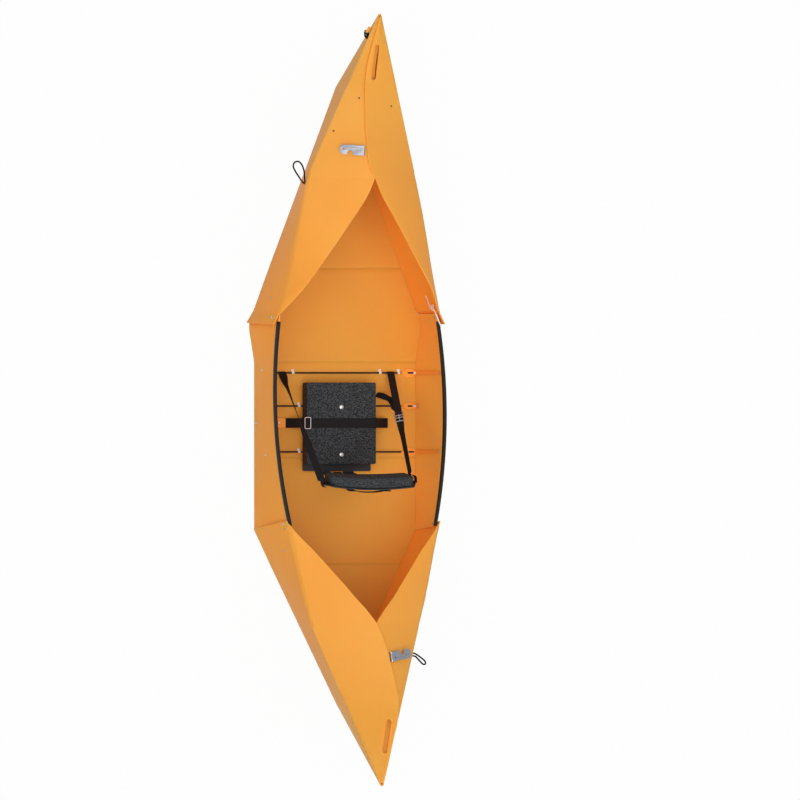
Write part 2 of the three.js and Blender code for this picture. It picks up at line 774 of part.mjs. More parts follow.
// The clip's outline across the rod, seen along X: a foot behind, an arch over the rod, a screwed tab ahead
function clip() {
  const inner = rodRadius + rest;
  const outer = inner + clipWall;
  const low = rest - rodHeight + sheet;
  const shape = new THREE.Shape();
  shape.moveTo(-outer, low);
  shape.lineTo(-inner, low);
  shape.lineTo(-inner, 0);
  shape.absarc(0, 0, inner, Math.PI, 0, true);
  shape.lineTo(inner, low);
  shape.lineTo(inner + clipTab, low);
  shape.lineTo(inner + clipTab, low + clipWall);
  shape.lineTo(outer, low + clipWall);
  shape.lineTo(outer, 0);
  shape.absarc(0, 0, outer, 0, Math.PI, false);
  const body = new THREE.ExtrudeGeometry(shape, { depth: clipWidth, bevelEnabled: false, curveSegments: 5 });
  body.translate(0, 0, -clipWidth / 2).rotateY(Math.PI / 2).rotateX(Math.PI / 2);
  const head = turnedBody([
    [0, 0], [clipScrewRadius, 0], [clipScrewRadius, clipScrewHeight / 2],
    [clipScrewRadius / 2, clipScrewHeight], [0, clipScrewHeight],
  ], boltSides);
  const tabMiddle = (outer + inner + clipTab) / 2;
  return join(body, head.rotateX(Math.PI / 2).translate(0, tabMiddle, low + clipWall / 2));
}

const clipSeatGap = 10; // from a clip's middle to the seat's side
const besideSeat = -(seatWidth / 2 + clipSeatGap);
const clipPlaces = [
  ['front_port_clip', 'front', -0.53 * halfChine], ['front_middle_clip', 'front', 0.545 * halfChine],
  ['front_starboard_clip', 'front', 0.775 * halfChine], ['middle_clip', 'middle', besideSeat],
  ['rear_clip', 'rear', besideSeat],
];
for (const [name, rod, x] of clipPlaces) {
  add(name, clip(), steel).position.set(x, rodShares[rod] * halfLength, rodHeight);
}

// Braces: strips of the sheet that rise from the floor to the wall

const braceInset = sheet + 4 * rest + braceSheet / 2;
const braceBendShare = 0.9; // of the foot's length, the height over which the strip turns up
const braceSteps = 5;

function bracePath(side, at, footStart, rise) {
  const wallShare = rise / gunwalePoint(at).z;
  const onWall = (share) => wallPoint(side, at, share).add(outwards(side).multiplyScalar(-braceInset));
  const onFloor = (x) => new THREE.Vector3(side * x, at * halfLength, floorTop + braceSheet / 2);
  const bendEnd = wallShare * Math.min(1 / 2, (braceBendShare * braceFoot) / rise);
  const bendStart = onFloor(halfChine - braceInset - braceFoot);
  const elbow = onFloor(halfChine - braceInset - braceFoot / 4);
  const bend = new THREE.QuadraticBezierCurve3(bendStart, elbow, onWall(bendEnd));
  const upright = spread(bendEnd, wallShare, braceSteps).slice(1).map(onWall);
  return [onFloor(footStart), ...bend.getPoints(braceSteps), ...upright];
}

function braceBody(side, at, footStart, rise, topWidth) {
  const lengthwise = new THREE.Vector3(0, 1, 0);
  const points = bracePath(side, at, footStart, rise);
  const frames = points.map((point, i) => {
    const heightShare = THREE.MathUtils.clamp(point.z / braceRise, 0, 1);
    const width = THREE.MathUtils.lerp(braceWidth, topWidth, heightShare);
    const up = aheadOf(points, i).cross(lengthwise).normalize();
    return { at: point, out: lengthwise.clone().multiplyScalar(width / braceWidth), up };
  });
  return sweep(bandSection(braceWidth, braceSheet), frames);
}

function wallBolt(side, at, height) {
  const seat = wallPoint(side, at, height / gunwalePoint(at).z);
  const lean = boltHead * wallLeanShare;
  seat.x += side * lean;
  seat.z = height;
  return sideBolt(side, seat, sheet + braceSheet + 5 * rest + 2 * lean);
}

const strapStation = -0.0597;
const braces = [
  ['front_brace', 1, rodShares.front, rodStarboardEnd + seam, braceRise],
  ['rear_brace', 1, rodShares.rear, rodStarboardEnd + seam, braceRise],
  ['middle_brace', 1, rodShares.middle, rodStarboardEnd + seam, middleBraceRise],
  ['port_brace', -1, strapStation, 0.6 * halfChine, middleBraceRise],
];
const wallHoles = { 1: [], '-1': [] };
for (const [name, side, at, footStart, rise] of braces) {
  const tall = rise === braceRise;
  const { bolt, hole } = wallBolt(side, at, tall ? rise - braceTopWidth / 2 : rise - boltHead);
  const strip = braceBody(side, at, footStart, rise + boltHead, tall ? braceTopWidth : braceWidth);
  wallHoles[side].push(hole);
  add(name, cut(strip, hole), bracePlastic);
  add(`${name}_bolt`, bolt, steel);
}
for (const side of [-1, 1]) {
  const lapHoles = lapBolts.filter((lap) => lap.side === side).map((lap) => lap.hole);
  add(`${sideNames[side]}_wall`, cut(wall(side), ...lapHoles, ...wallHoles[side]), hullPlastic);
  add(`${sideNames[side]}_gunwale_rail`, rail(side), blackPlastic);
}

// Deck latches: a base on the lower flap, a plate hinged on it that closes down over the flap

const latchShares = new Map([[bow, 0.646], [stern, 0.6645]]);
const latchTurns = new Map([[bow, -4], [stern, 8]]); // degrees, outer end forward
const frameStep = 0.01;

// Where a latch sits: x down the deck away from the seam, z off its face
function latchFrame(end) {
  const at = latchShares.get(end);
  const side = -end.upperSide;
  const share = 1 - (latchBaseLength / 2 + latchSeamGap) / deckWidth(end, side, at);
  const pick = (a, s) => turned(end, deckPoint(end, side, a, s));
  const down = pick(at, share - frameStep).sub(pick(at, share + frameStep)).normalize();
  const fore = pick(at + frameStep, share).sub(pick(at - frameStep, share)).multiplyScalar(end.forward);
  const normal = down.clone().cross(fore).normalize();
  if (normal.z < 0) normal.negate();
  const across = normal.clone().cross(down).normalize();
  const turn = new THREE.Matrix4().makeRotationZ(THREE.MathUtils.degToRad(latchTurns.get(end)));
  return new THREE.Matrix4().makeBasis(down, across, normal).setPosition(pick(at, share)).multiply(turn);
}

function latchPlateShape() {
  const [w, start, end] = [latchWidth / 2, -latchBarrel / 2, latchLength];
  const shape = new THREE.Shape();
  const notchAt = latchLength * latchNotchShare;
  shape.moveTo(start, -w);
  shape.lineTo(end - w, -w);
  shape.absarc(end - w, 0, w, -Math.PI / 2, Math.PI / 2);
  shape.lineTo(notchAt + latchNotch, w);
  shape.absarc(notchAt, w, latchNotch, 0, -Math.PI, true);
  shape.lineTo(start, w);
  return shape;
}

const latchBarrelHeight = latchBaseHeight + latchBarrel + rest;
const latchBarrelAt = latchBarrel - latchBaseLength / 2;
const latchLug = latchWidth / 5;
const latchLugAt = (latchWidth - latchLug) / 2;

function latchBar(radius, length, y = 0) {
  return bar(radius, length, latchSides).translate(latchBarrelAt, y, latchBarrelHeight);
}

const latchBore = () => latchBar(latchPin + hingeRunning, latchWidth + 2 * overrun);

function latchBase() {
  const low = 2 * rest;
  const lugHeight = latchBarrelHeight - rest;
  const foot = latchBaseHeight - rest;
  const lugs = [-latchLugAt, latchLugAt].flatMap((y) => [
    latchBar(latchBarrel, latchLug, y),
    block(2 * latchBarrel, latchLug, lugHeight, latchBarrelAt, y, low + lugHeight / 2),
  ]);
  return cut(join(block(latchBaseLength, latchWidth, foot, 0, 0, low + foot / 2), ...lugs), latchBore());
}

function latchLever() {
  const plateLow = latchBarrelHeight + latchBarrel - latchPlate;
  const plate = new THREE.ExtrudeGeometry(latchPlateShape(), {
    depth: latchPlate, bevelEnabled: false, curveSegments: 6,
  }).translate(latchBarrelAt, 0, plateLow);
  const relief = (s) => block(
    4 * latchBarrel + 2 * rest, latchLug + 2 * rest + overrun, 2 * overrun,
    latchBarrelAt, s * (latchLugAt + overrun / 2), plateLow,
  );
  const knuckleBar = latchBar(latchBarrel, latchWidth - 2 * latchLug - 2 * rest);
  return cut(join(plate, knuckleBar), relief(-1), relief(1), latchBore());
}

for (const [end, endName] of endNames) {
  const holder = new THREE.Group();
  holder.applyMatrix4(latchFrame(end));
  kayak.add(holder);
  add(`${endName}_latch_base`, latchBase(), steel, holder);
  add(`${endName}_latch_pin`, latchBar(latchPin, latchWidth), steel, holder);
  add(`${endName}_latch_lever`, latchLever(), steel, holder);
}

// Seat board and pad, fixed by two screws

const seatMiddle = seatFront - seatLength / 2;
const boardLow = rodHeight + rodRadius + rest;
const boardTop = boardLow + boardHeight;
const padTop = boardTop + rest + seatPadHeight;
const boardRear = seatFront - seatLength - boardRearMargin;
const hingeY = boardRear - hingeBehindBoard;
const boardWidth = seatWidth - 2 * boardSide;
const boardLength = seatFront - boardSide - boardRear;
const seatScrewShares = { front_seat_screw: 0.3, rear_seat_screw: 0.885 };
const screwHoles = Object.values(seatScrewShares).map((share) => {
  const hole = bar(seatScrewRadius + rest, 4 * seatPadHeight).rotateX(Math.PI / 2);
  return hole.translate(0, seatFront - share * seatLength, boardTop);
});
const knuckle = neckWidth / 4;
const knuckleGap = 2 * rest;
const lugWidth = (neckWidth - knuckle) / 2 - knuckleGap;
const knuckleAt = (neckWidth - lugWidth) / 2;

function seatBoard() {
  const plate = roundedPlate(boardWidth, boardLength, boardHeight, padCorner);
  plate.translate(0, seatFront - boardSide - boardLength / 2, boardLow);
  const reach = hingeBehindBoard + hingeBarrel;
  const lugs = [-knuckleAt, knuckleAt].flatMap((x) => [
    barAlongX(hingeBarrel, lugWidth).translate(x, hingeY, hingeHeight),
    block(lugWidth, reach, boardHeight, x, hingeY + reach / 2, boardLow + boardHeight / 2),
  ]);
  const bore = barAlongX(hingePin + hingeRunning, neckWidth + 2 * overrun).translate(0, hingeY, hingeHeight);
  return cut(join(plate, ...lugs), bore, ...screwHoles);
}

add('seat_board', seatBoard(), boardPlastic);
const seatPad = roundedPlate(seatWidth, seatLength, seatPadHeight, padCorner);
seatPad.translate(0, seatMiddle, boardTop + rest);
add('seat_pad', cut(seatPad, ...screwHoles), foam);

function seatScrew() {
  const shank = padTop - boardLow;
  return turnedBody([
    [0, -shank], [seatScrewRadius, -shank], [seatScrewRadius, rest], [seatScrewHead, rest],
    [seatScrewHead, seatScrewHeadHeight * screwRimShare],
    [seatScrewHead * boltCrownShare, seatScrewHeadHeight], [0, seatScrewHeadHeight],
  ], screwSides).rotateX(Math.PI / 2);
}

for (const [name, share] of Object.entries(seatScrewShares)) {
  add(name, seatScrew(), whiteMetal).position.set(0, seatFront - share * seatLength, padTop);
}
add('backrest_hinge_pin', barAlongX(hingePin, neckWidth), steel).position.set(0, hingeY, hingeHeight);

// Backrest: board, foam pad and the strap round its head, in the frame of the hinge

const backrest = new THREE.Group();
backrest.position.set(0, hingeY, hingeHeight);
backrest.rotation.x = THREE.MathUtils.degToRad(recline);
kayak.add(backrest);
const neckLow = hingeBarrel + 4 * rest + boardHeight / 2;

function backBoardBody() {
  const [n, h, r] = [neckWidth / 2, headWidth / 2, seatCorner];
  const shape = new THREE.Shape();
  shape.moveTo(-n, neckLow);
  shape.lineTo(n, neckLow);
  shape.lineTo(n, headLow - 3 * r);
  shape.quadraticCurveTo(n, headLow, n + 3 * r, headLow);
  shape.lineTo(h - r, headLow);
  shape.absarc(h - r, headLow + r, r, -Math.PI / 2, 0);
  shape.absarc(h - r, headHigh - r, r, 0, Math.PI / 2);
  shape.absarc(r - h, headHigh - r, r, Math.PI / 2, Math.PI);
  shape.absarc(r - h, headLow + r, r, Math.PI, Math.PI * 1.5);
  shape.lineTo(-n - 3 * r, headLow);
  shape.quadraticCurveTo(-n, headLow, -n, headLow - 3 * r);
  const plate = new THREE.ExtrudeGeometry(shape, { depth: backBoard, bevelEnabled: false, curveSegments: 6 });
  plate.rotateX(Math.PI / 2).translate(0, backBoard / 2, 0);
  const barrelLength = knuckle - knuckleGap;
  const barrel = barAlongX(hingeBarrel, barrelLength);
  const webRise = neckLow + hingeBarrel;
  const web = block(barrelLength, backBoard, webRise, 0, 0, webRise / 2);
  const bore = barAlongX(hingePin + hingeRunning, neckWidth + 2 * overrun);
  return cut(join(plate, barrel, web), bore);
}

add('backrest_board', backBoardBody(), boardPlastic, backrest);
const padRise = headHigh - headLow - 2 * backPadMargin;
const backPad = roundedPlate(backPadWidth, padRise, backPadHeight, seatCorner);
backPad.rotateX(-Math.PI / 2).translate(0, backBoard / 2 + rest, (headHigh + headLow) / 2);
add('backrest_pad', backPad, foam, backrest);

const rearStrapAt = (headLow + headHigh) / 2 + backPadMargin;
const strapOut = headWidth / 2 + 3 * rest + webbing / 2;
const strapBack = backBoard / 2 + 2 * rest + webbing / 2;

// The strap goes round the back of the head and a little way forward at both ends
function rearStrap() {
  const corners = spread(0, Math.PI / 2, 4).slice(1, -1).map((angle) => [
    strapOut - (strapBack / 2) * (1 - Math.cos(angle)), -strapBack * Math.sin(angle),
  ]);
  const half = [
    [strapOut, 3 * strapBack], [strapOut, strapBack / 2], ...corners, [strapOut - strapBack, -strapBack],
  ];
  const left = [...half, [0, -strapBack]].map(([x, y]) => new THREE.Vector3(-x, y, rearStrapAt));
  const right = half.reverse().map(([x, y]) => new THREE.Vector3(x, y, rearStrapAt));
  const points = [...left, ...right];
  return strapBody(points, points.map(() => new THREE.Vector3(0, 0, 1)), backStrapWidth);
}

add('backrest_rear_strap', rearStrap(), webbingCloth, backrest);

// A flat buckle: an outer frame with a bar across its middle
function slideBuckle(width, length) {
  const windowLength = (length - 3 * buckleBar) / 2;
  const window = roundedPlate(width - 2 * buckleBar, windowLength, 2 * overrun, buckleBar / 3);
  const shift = (length - buckleBar) / 4;
  const windows = [-shift, shift].map((y) => moved(window, 0, y, -overrun));
  return cut(roundedPlate(width, length, buckleHeight, buckleBar / 2), ...windows);
}

for (const side of [-1, 1]) {
  const frame = slideBuckle(buckleWidth, buckleLength).rotateZ(Math.PI / 2).rotateX(Math.PI / 2);
  frame.translate(side * headWidth * rearBuckleShare, -strapBack - webbing / 2 - rest, rearStrapAt);
  add(`rear_${sideNames[side]}_buckle`, frame, blackPlastic, backrest);
}

// Backrest straps, from the front rod up to the head's ends, turning from flat to upright

const frontRodY = rodShares.front * halfLength;
const strapFoot = 0.67 * halfChine;
backrest.updateMatrixWorld(true);
const headFrontShare = 0.75; // of the pad's depth, where the straps reach the head

function strapTop(side) {
  const x = side * (strapOut + strapReach[side]);
  return new THREE.Vector3(x, backPadHeight * headFrontShare, rearStrapAt).applyMatrix4(backrest.matrixWorld);
}

const strapWrapAngles = spread(-1.45, 0.8, 4);
const strapLeaveAngle = 1;
const strapShares = spread(0.02, 1, 18);
// How each side's strap twists: from which share, over which share, through how many degrees
const strapTwists = { 1: { from: 0.3, over: 0.6, turn: 78 }, '-1': { from: 0, over: 0.75, turn: 200 } };

function strapFootAt(side, angle) {
  const wrap = rodRadius + rest + webbing / 2;
  const y = frontRodY + wrap * Math.cos(angle);
  return new THREE.Vector3(side * strapFoot, y, rodHeight + wrap * Math.sin(angle));
}

function strapEnds(side) {
  return [strapFootAt(side, strapLeaveAngle), strapTop(side)];
}

// The strap's width turns from across the boat at its foot to upright at the head
function strapWay(side, share) {
  const twist = strapTwists[side];
  const turn = smoothShare((share - twist.from) / twist.over) * THREE.MathUtils.degToRad(twist.turn);
  return new THREE.Vector3(Math.cos(turn), 0, Math.sin(turn));
}

function sideStrap(side) {
  const [foot, top] = strapEnds(side);
  const wrapped = strapWrapAngles.map((angle) => strapFootAt(side, angle));
  const points = [...wrapped, ...strapShares.map((share) => mixed(foot, top, share))];
  const wrappedWays = wrapped.map(() => strapWay(side, 0));
  const ways = [...wrappedWays, ...strapShares.map((share) => strapWay(side, share))];
  return strapBody(points, ways, backStrapWidth);
}

for (const side of [-1, 1]) add(`${sideNames[side]}_backrest_strap`, sideStrap(side), webbingCloth);

// Seat strap over the pad, with its steel loop

const strapY = strapStation * halfLength;
const strapFloor = floorTop + braceSheet + rest + webbing / 2;
const strapPortEnd = -0.62 * halfChine;
const strapStarboardEnd = 0.64 * halfChine;
const strapOver = padTop + rest + webbing / 2;

function seatStrapPoints() {
  const half = seatWidth / 2;
  const bend = 3 * webbing;
  const overEdge = [
    [-half - 2 * bend, strapOver - 5 * bend / 2], [-half - 2 * webbing, strapOver - rest],
    [-half + bend, strapOver],
  ];
  return [
    [strapPortEnd, strapFloor], [strapPortEnd + 2 * bend, strapFloor],
    [strapPortEnd + 3 * bend, strapFloor + bend],
    ...overEdge, ...overEdge.map(([x, z]) => [-x, z]).reverse(),
    [strapStarboardEnd - 3 * bend, strapFloor + bend],
    [strapStarboardEnd - 2 * bend, strapFloor], [strapStarboardEnd, strapFloor],
  ].map(([x, z]) => new THREE.Vector3(x, strapY, z));
}

const seatStrap = seatStrapPoints();
const ringLong = new THREE.Vector3(0, 1, 0);
add('seat_strap', strapBody(seatStrap, seatStrap.map(() => ringLong), seatStrapWidth), webbingCloth);
// The loop lies over the strap's bend at the pad's port edge
const ringAt = ringOverhang - seatWidth / 2;
const ringLift = strapOver + webbing / 2 + rest;
const ringOuter = roundedPlate(ringGap + 2 * ringWire, ringSlot + 2 * ringWire, ringWire, ringWire);
const ringInner = roundedPlate(ringGap, ringSlot, 2 * overrun, ringWire / 2).translate(0, 0, -overrun);
add('seat_strap_ring', cut(ringOuter, ringInner), whiteMetal).position.set(ringAt, strapY, ringLift);

// Ladder-lock buckle lying on the starboard backrest strap

const lockShare = 0.44; // how far up the strap
const lockLift = 1.5 * webbing;

function lockMatrix() {
  const [foot, top] = strapEnds(1);
  const ahead = top.clone().sub(foot).normalize();
  const across = strapWay(1, lockShare);
  across.addScaledVector(ahead, -across.dot(ahead)).normalize();
  const up = across.clone().cross(ahead).normalize();
  const place = mixed(foot, top, lockShare).addScaledVector(up, lockLift);
  return new THREE.Matrix4().makeBasis(across, ahead, up).setPosition(place);
}

add('ladder_lock_buckle', slideBuckle(buckleWidth, buckleLength), whiteMetal).applyMatrix4(lockMatrix());

// Cord loops and the wire hook by the starboard rail's end: points chosen by hand
const bowLoopPoints = [
  [-228.2, 860, 262], [-231.1, 881, 266], [-233.3, 904.5, 266], [-240.2, 928, 262], [-253.1, 942, 257],
  [-268.1, 938, 252], [-272.4, 922, 250], [-263.5, 902.6, 251], [-249.8, 881, 254], [-238.3, 863, 257],
  [-226.7, 855, 254],
];
const sternLoopPoints = [
  [186.8, -1000, 345], [204.3, -1001, 344], [220.3, -1009, 341], [238.8, -1021, 337], [252.6, -1032, 334],
  [254.2, -1043, 332], [244, -1043, 332], [230.2, -1031, 335], [217.2, -1019, 338], [206.2, -1011.5, 339],
  [182.6, -1010, 338],
];
// The hook's x, y and z are shares of halfChine, halfLength and gunwaleHeight
const hookShares = [
  [0.9213, 0.2695, 0.6403], [0.9271, 0.2597, 0.6835], [0.9329, 0.2479, 0.7266], [0.9388, 0.2387, 0.7626],
  [0.9417, 0.2361, 0.8129], [0.9417, 0.24, 0.8633], [0.9388, 0.2354, 0.8957], [0.9481, 0.2262, 0.9309],
  [0.9679, 0.2131, 0.9518], [0.9913, 0.1987, 0.9633], [1.0117, 0.1889, 0.9712],
];
const hookPoints = hookShares.map(([x, y, z]) => [x * halfChine, y * halfLength, z * gunwaleHeight]);
add('bow_cord_loop', cordBody(bowLoopPoints, cordRadius), blackPlastic);
add('stern_cord_loop', cordBody(sternLoopPoints, cordRadius), blackPlastic);
add('starboard_hook', cordBody(hookPoints, hookWire), whiteMetal);

export default kayak;
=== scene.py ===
import math

import bmesh
import bpy
import numpy as np
from mathutils import Matrix, Vector


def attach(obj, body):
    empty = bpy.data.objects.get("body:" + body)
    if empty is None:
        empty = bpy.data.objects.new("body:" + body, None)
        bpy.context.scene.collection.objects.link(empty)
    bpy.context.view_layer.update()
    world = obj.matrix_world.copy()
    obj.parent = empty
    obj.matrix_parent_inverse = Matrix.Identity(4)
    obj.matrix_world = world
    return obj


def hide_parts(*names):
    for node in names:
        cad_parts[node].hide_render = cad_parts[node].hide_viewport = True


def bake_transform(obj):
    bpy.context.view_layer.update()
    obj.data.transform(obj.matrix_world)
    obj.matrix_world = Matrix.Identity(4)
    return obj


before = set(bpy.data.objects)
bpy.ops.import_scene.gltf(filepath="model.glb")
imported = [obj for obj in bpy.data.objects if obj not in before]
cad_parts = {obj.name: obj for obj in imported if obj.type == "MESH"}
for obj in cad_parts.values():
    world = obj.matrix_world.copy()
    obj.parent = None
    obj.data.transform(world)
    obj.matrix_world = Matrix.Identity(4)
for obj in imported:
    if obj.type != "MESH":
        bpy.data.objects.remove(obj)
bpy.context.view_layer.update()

MM = 0.001

# Hull sizes, in millimetres
HALF_LENGTH = 1525
HALF_CHINE = 343
HALF_BEAM = 361
GUNWALE = 278
BOW_HEIGHT = 496
STERN_HEIGHT = 520
SHEET = 4.5
SEAM = 0.5
BULGE = 8
STEM = 4.65
LAP_LIFT = 8.6
OVERLAP = 22
DECK_BULGE = 0.15
FOLD_SHARE = 0.098
MIDDLE = [(0.098, 1), (0.145, 1.033), (0.19, 1.062), (0.205, 1.05), (0.2235, 1.006)]

BOW = dict(
    way=1, upper=1, height=BOW_HEIGHT, corner=0.2354, foot=0.8105, rocker=0.341,
    deck=0.59, split=0.42, apex=0.575, edge=0.2213, body="bow",
    wing=[(0.197, 1.105), (0.2262, 1.024), (0.2354, 1.0)],
    shoulder=[(0.197, 1.06, 0.54), (0.2243, 1.0, 0.543), (0.267, 0.95, 0.556), (0.329, 0.889, 0.573),
              (0.393, 0.837, 0.58), (0.466, 0.776, 0.584), (0.525, 0.72, 0.588), (0.59, 0.65, 0.593)],
    rim=[(0.2213, 0.985, 0.552), (0.298, 0.767, 0.745), (0.36, 0.58, 0.8), (0.42, 0.405, 0.843),
         (0.46, 0.29, 0.866), (0.49, 0.2, 0.878), (0.525, 0.1, 0.886), (0.55, 0.045, 0.889),
         (0.575, 0, 0.89)],
    ridge=[(0.575, 0, 0.89), (0.59, -0.035, 0.89), (0.62, -0.085, 0.889), (0.65, -0.099, 0.885),
           (0.7, -0.099, 0.852), (0.75, -0.099, 0.836), (0.8105, -0.099, 0.833), (0.85, -0.099, 0.856),
           (0.878, -0.092, 0.888), (0.92, -0.066, 0.93), (0.958, -0.034, 0.966), (1, 0, 1)],
    start=0.197, slant=0.004, slot=[(0.829, 0), (0.9193, 0)],
)
STERN = dict(
    way=-1, upper=-1, height=STERN_HEIGHT, corner=0.3364, foot=0.785, rocker=0.426,
    deck=0.59, split=0.445, apex=0.58, edge=0.32, body="stern",
    wing=[(0.3134, 1.034), (0.333, 1.022), (0.3364, 1.0)],
    shoulder=[(0.3134, 0.95, 0.602), (0.333, 0.93, 0.61), (0.3882, 0.872, 0.618), (0.445, 0.818, 0.624),
              (0.5115, 0.752, 0.633), (0.55, 0.706, 0.638), (0.59, 0.656, 0.644)],
    rim=[(0.32, 0.925, 0.611), (0.34, 0.862, 0.632), (0.3882, 0.673, 0.69), (0.445, 0.469, 0.765),
         (0.48, 0.345, 0.807), (0.5115, 0.239, 0.8365), (0.54, 0.13, 0.857), (0.565, 0.045, 0.87),
         (0.58, 0, 0.875)],
    ridge=[(0.58, 0, 0.875), (0.61, 0.06, 0.874), (0.645, 0.125, 0.866), (0.679, 0.175, 0.858),
           (0.73, 0.236, 0.845), (0.785, 0.283, 0.842), (0.829, 0.262, 0.866), (0.875, 0.192, 0.902),
           (0.9193, 0.124, 0.943), (0.958, 0.068, 0.971), (1, 0, 1)],
    start=0.3134, slant=0.022, slot=[(0.8236, 0.165), (0.9193, 0.052)],
)
FOOT_RISE = 0.04
REAR_CREASE = -227
# The lower flap dips under the grab slot and reaches far enough below it, in millimetres
SLOT_SAG = dict(bow=[(0.8, 0), (0.82, 9), (0.925, 9), (0.945, 0)],
                stern=[(0.8, 0), (0.815, 7), (0.925, 7), (0.945, 0)])
UNDER_SLOT = dict(bow=[(0.79, 0), (0.815, 48), (0.925, 37), (0.95, 14), (1, 3)],
                  stern=[(0.79, 0), (0.812, 74), (0.925, 52), (0.95, 18), (1, 3)])


def vec(*values):
    return np.array(values, float)


def unit(v):
    return v / np.linalg.norm(v)


def lerp(a, b, t):
    return a + (b - a) * t


def arc(cx, cy, radius, start, end, steps, squash=1):
    """Points along an arc, its angles in degrees."""
    angles = np.radians(np.linspace(start, end, steps + 1))
    return [(cx + radius * math.cos(a), cy + radius * math.sin(a) * squash) for a in angles]


def distances(points):
    """How far along a line each of its points lies."""
    return np.concatenate([[0], np.cumsum(np.linalg.norm(np.diff(np.array(points), axis=0), axis=1))])


def smooth01(t):
    t = min(1, max(0, t))
    return t * t * (3 - 2 * t)


def table(rows, at, column):
    """A value between stations, on a curve that keeps each station's value and adds no waves."""
    xs = np.array([row[0] for row in rows])
    ys = np.array([row[column] for row in rows])
    if at <= xs[0]:
        return ys[0]
    if at >= xs[-1]:
        return ys[-1]
    steps = np.diff(xs)
    slopes = np.diff(ys) / steps
    turn = np.zeros(len(xs))
    for i in range(1, len(xs) - 1):
        if slopes[i - 1] * slopes[i] > 0:
            w1, w2 = 2 * steps[i] + steps[i - 1], steps[i] + 2 * steps[i - 1]
            turn[i] = (w1 + w2) / (w1 / slopes[i - 1] + w2 / slopes[i])
    turn[0], turn[-1] = slopes[0], slopes[-1]
    i = int(np.searchsorted(xs, at) - 1)
    h, t = steps[i], (at - xs[i]) / steps[i]
    return (ys[i] * (1 + 2 * t) * (1 - t) ** 2 + turn[i] * h * t * (1 - t) ** 2
            + ys[i + 1] * t * t * (3 - 2 * t) + turn[i + 1] * h * t * t * (t - 1))


def linear(rows, at, column):
    return float(np.interp(at, [row[0] for row in rows], [row[column] for row in rows]))


def middle_half(at):
    return HALF_CHINE * table(MIDDLE, min(max(at, MIDDLE[0][0]), MIDDLE[-1][0]), 1)


def chine(end, at):
    """The starboard edge of an end's floor, at a share of the half length."""
    foot_rise = FOOT_RISE * end["height"]
    y = at * HALF_LENGTH
    if at > end["foot"]:
        t = (at - end["foot"]) / (1 - end["foot"])
        return vec(STEM, y, lerp(foot_rise, end["height"] - 4, t))
    z = foot_rise * max(0, (at - end["rocker"]) / (end["foot"] - end["rocker"]))
    if at < end["corner"]:
        return vec(HALF_CHINE * linear(end["wing"], at, 1), y, z + 2)
    t = (at - end["corner"]) / (end["foot"] - end["corner"])
    return vec(lerp(HALF_CHINE, STEM, t), y, z)


def shoulder(end, at):
    """The fold between an end's starboard side and its deck."""
    across, up = (table(end["shoulder"], at, column) for column in (1, 2))
    start = vec(HALF_CHINE * across, at * HALF_LENGTH, end["height"] * up)
    if at <= end["deck"]:
        return start
    start[1] = end["deck"] * HALF_LENGTH
    return lerp(start, vec(STEM, HALF_LENGTH, end["height"]), (at - end["deck"]) / (1 - end["deck"]))


def rim(end, side, at):
    """The flap's free edge: the cockpit's opening up to the apex, the ridge beyond it."""
    before = at < end["apex"]
    rows = end["rim"] if before else end["ridge"]
    x = HALF_CHINE * table(rows, at, 1) * (side if before else 1)
    return vec(x, at * HALF_LENGTH, end["height"] * table(rows, at, 2))


def deck(end, side, at, share):
    """A point of the deck, by its share in from the shoulder; past 1 it lies on the other side's deck."""
    outer = shoulder(end, at)
    outer[0] *= side
    inner = rim(end, side, at)
    if share > 1:
        past = (share - 1) * abs(inner[0] - outer[0])
        return deck(end, -side, at, 1 - past / abs(inner[0] + outer[0]))
    point = lerp(outer, inner, share)
    point[2] += (inner[2] - outer[2]) * 2 * DECK_BULGE * share * (1 - share)
    return point


def lap_rise(end, at, share):
    """How far the upper flap stands above the lower one it laps over."""
    along = (at - end["split"]) / (end["apex"] - end["split"])
    return LAP_LIFT * smooth01(share / 0.8) * smooth01(along)


def resample(points, count):
    """The same line with its points at even spacing."""
    points, lengths = np.array(points), distances(points)
    goals = np.linspace(0, lengths[-1], count)
    return np.array([np.interp(goals, lengths, points[:, k]) for k in range(3)]).T


def soften(points, radius, spacing):
    """Rounds a section's corner by averaging it over a distance, its ends kept."""
    reach = max(1, int(round(radius / spacing)))
    padded = np.concatenate([
        2 * points[0] - points[reach:0:-1], points, 2 * points[-1] - points[-2:-reach - 2:-1]])
    kernel = np.hanning(2 * reach + 3)[1:-1]
    kernel /= kernel.sum()
    return np.array([np.convolve(padded[:, k], kernel, mode="valid") for k in range(3)]).T


def wall_line(end, side, at, top_gap):
    """A station's side, from the chine up to the shoulder or a gap short of it."""
    slant = end["slant"] * max(0, 1 - (at - end["start"]) / 0.06)
    low, high = chine(end, at + slant), shoulder(end, at)
    low[2] += SEAM
    if top_gap:
        high = high + unit(low - high) * top_gap
    points = []
    for t in np.linspace(0, 1, 25):
        point = lerp(low, high, t)
        point[0] += BULGE * math.sin(math.pi * t) * min(1, high[0] / HALF_CHINE) ** 2
        point[0] *= side
        points.append(point)
    return points


NARROWEST_DECK = 6
FINE_STEP = 3.0


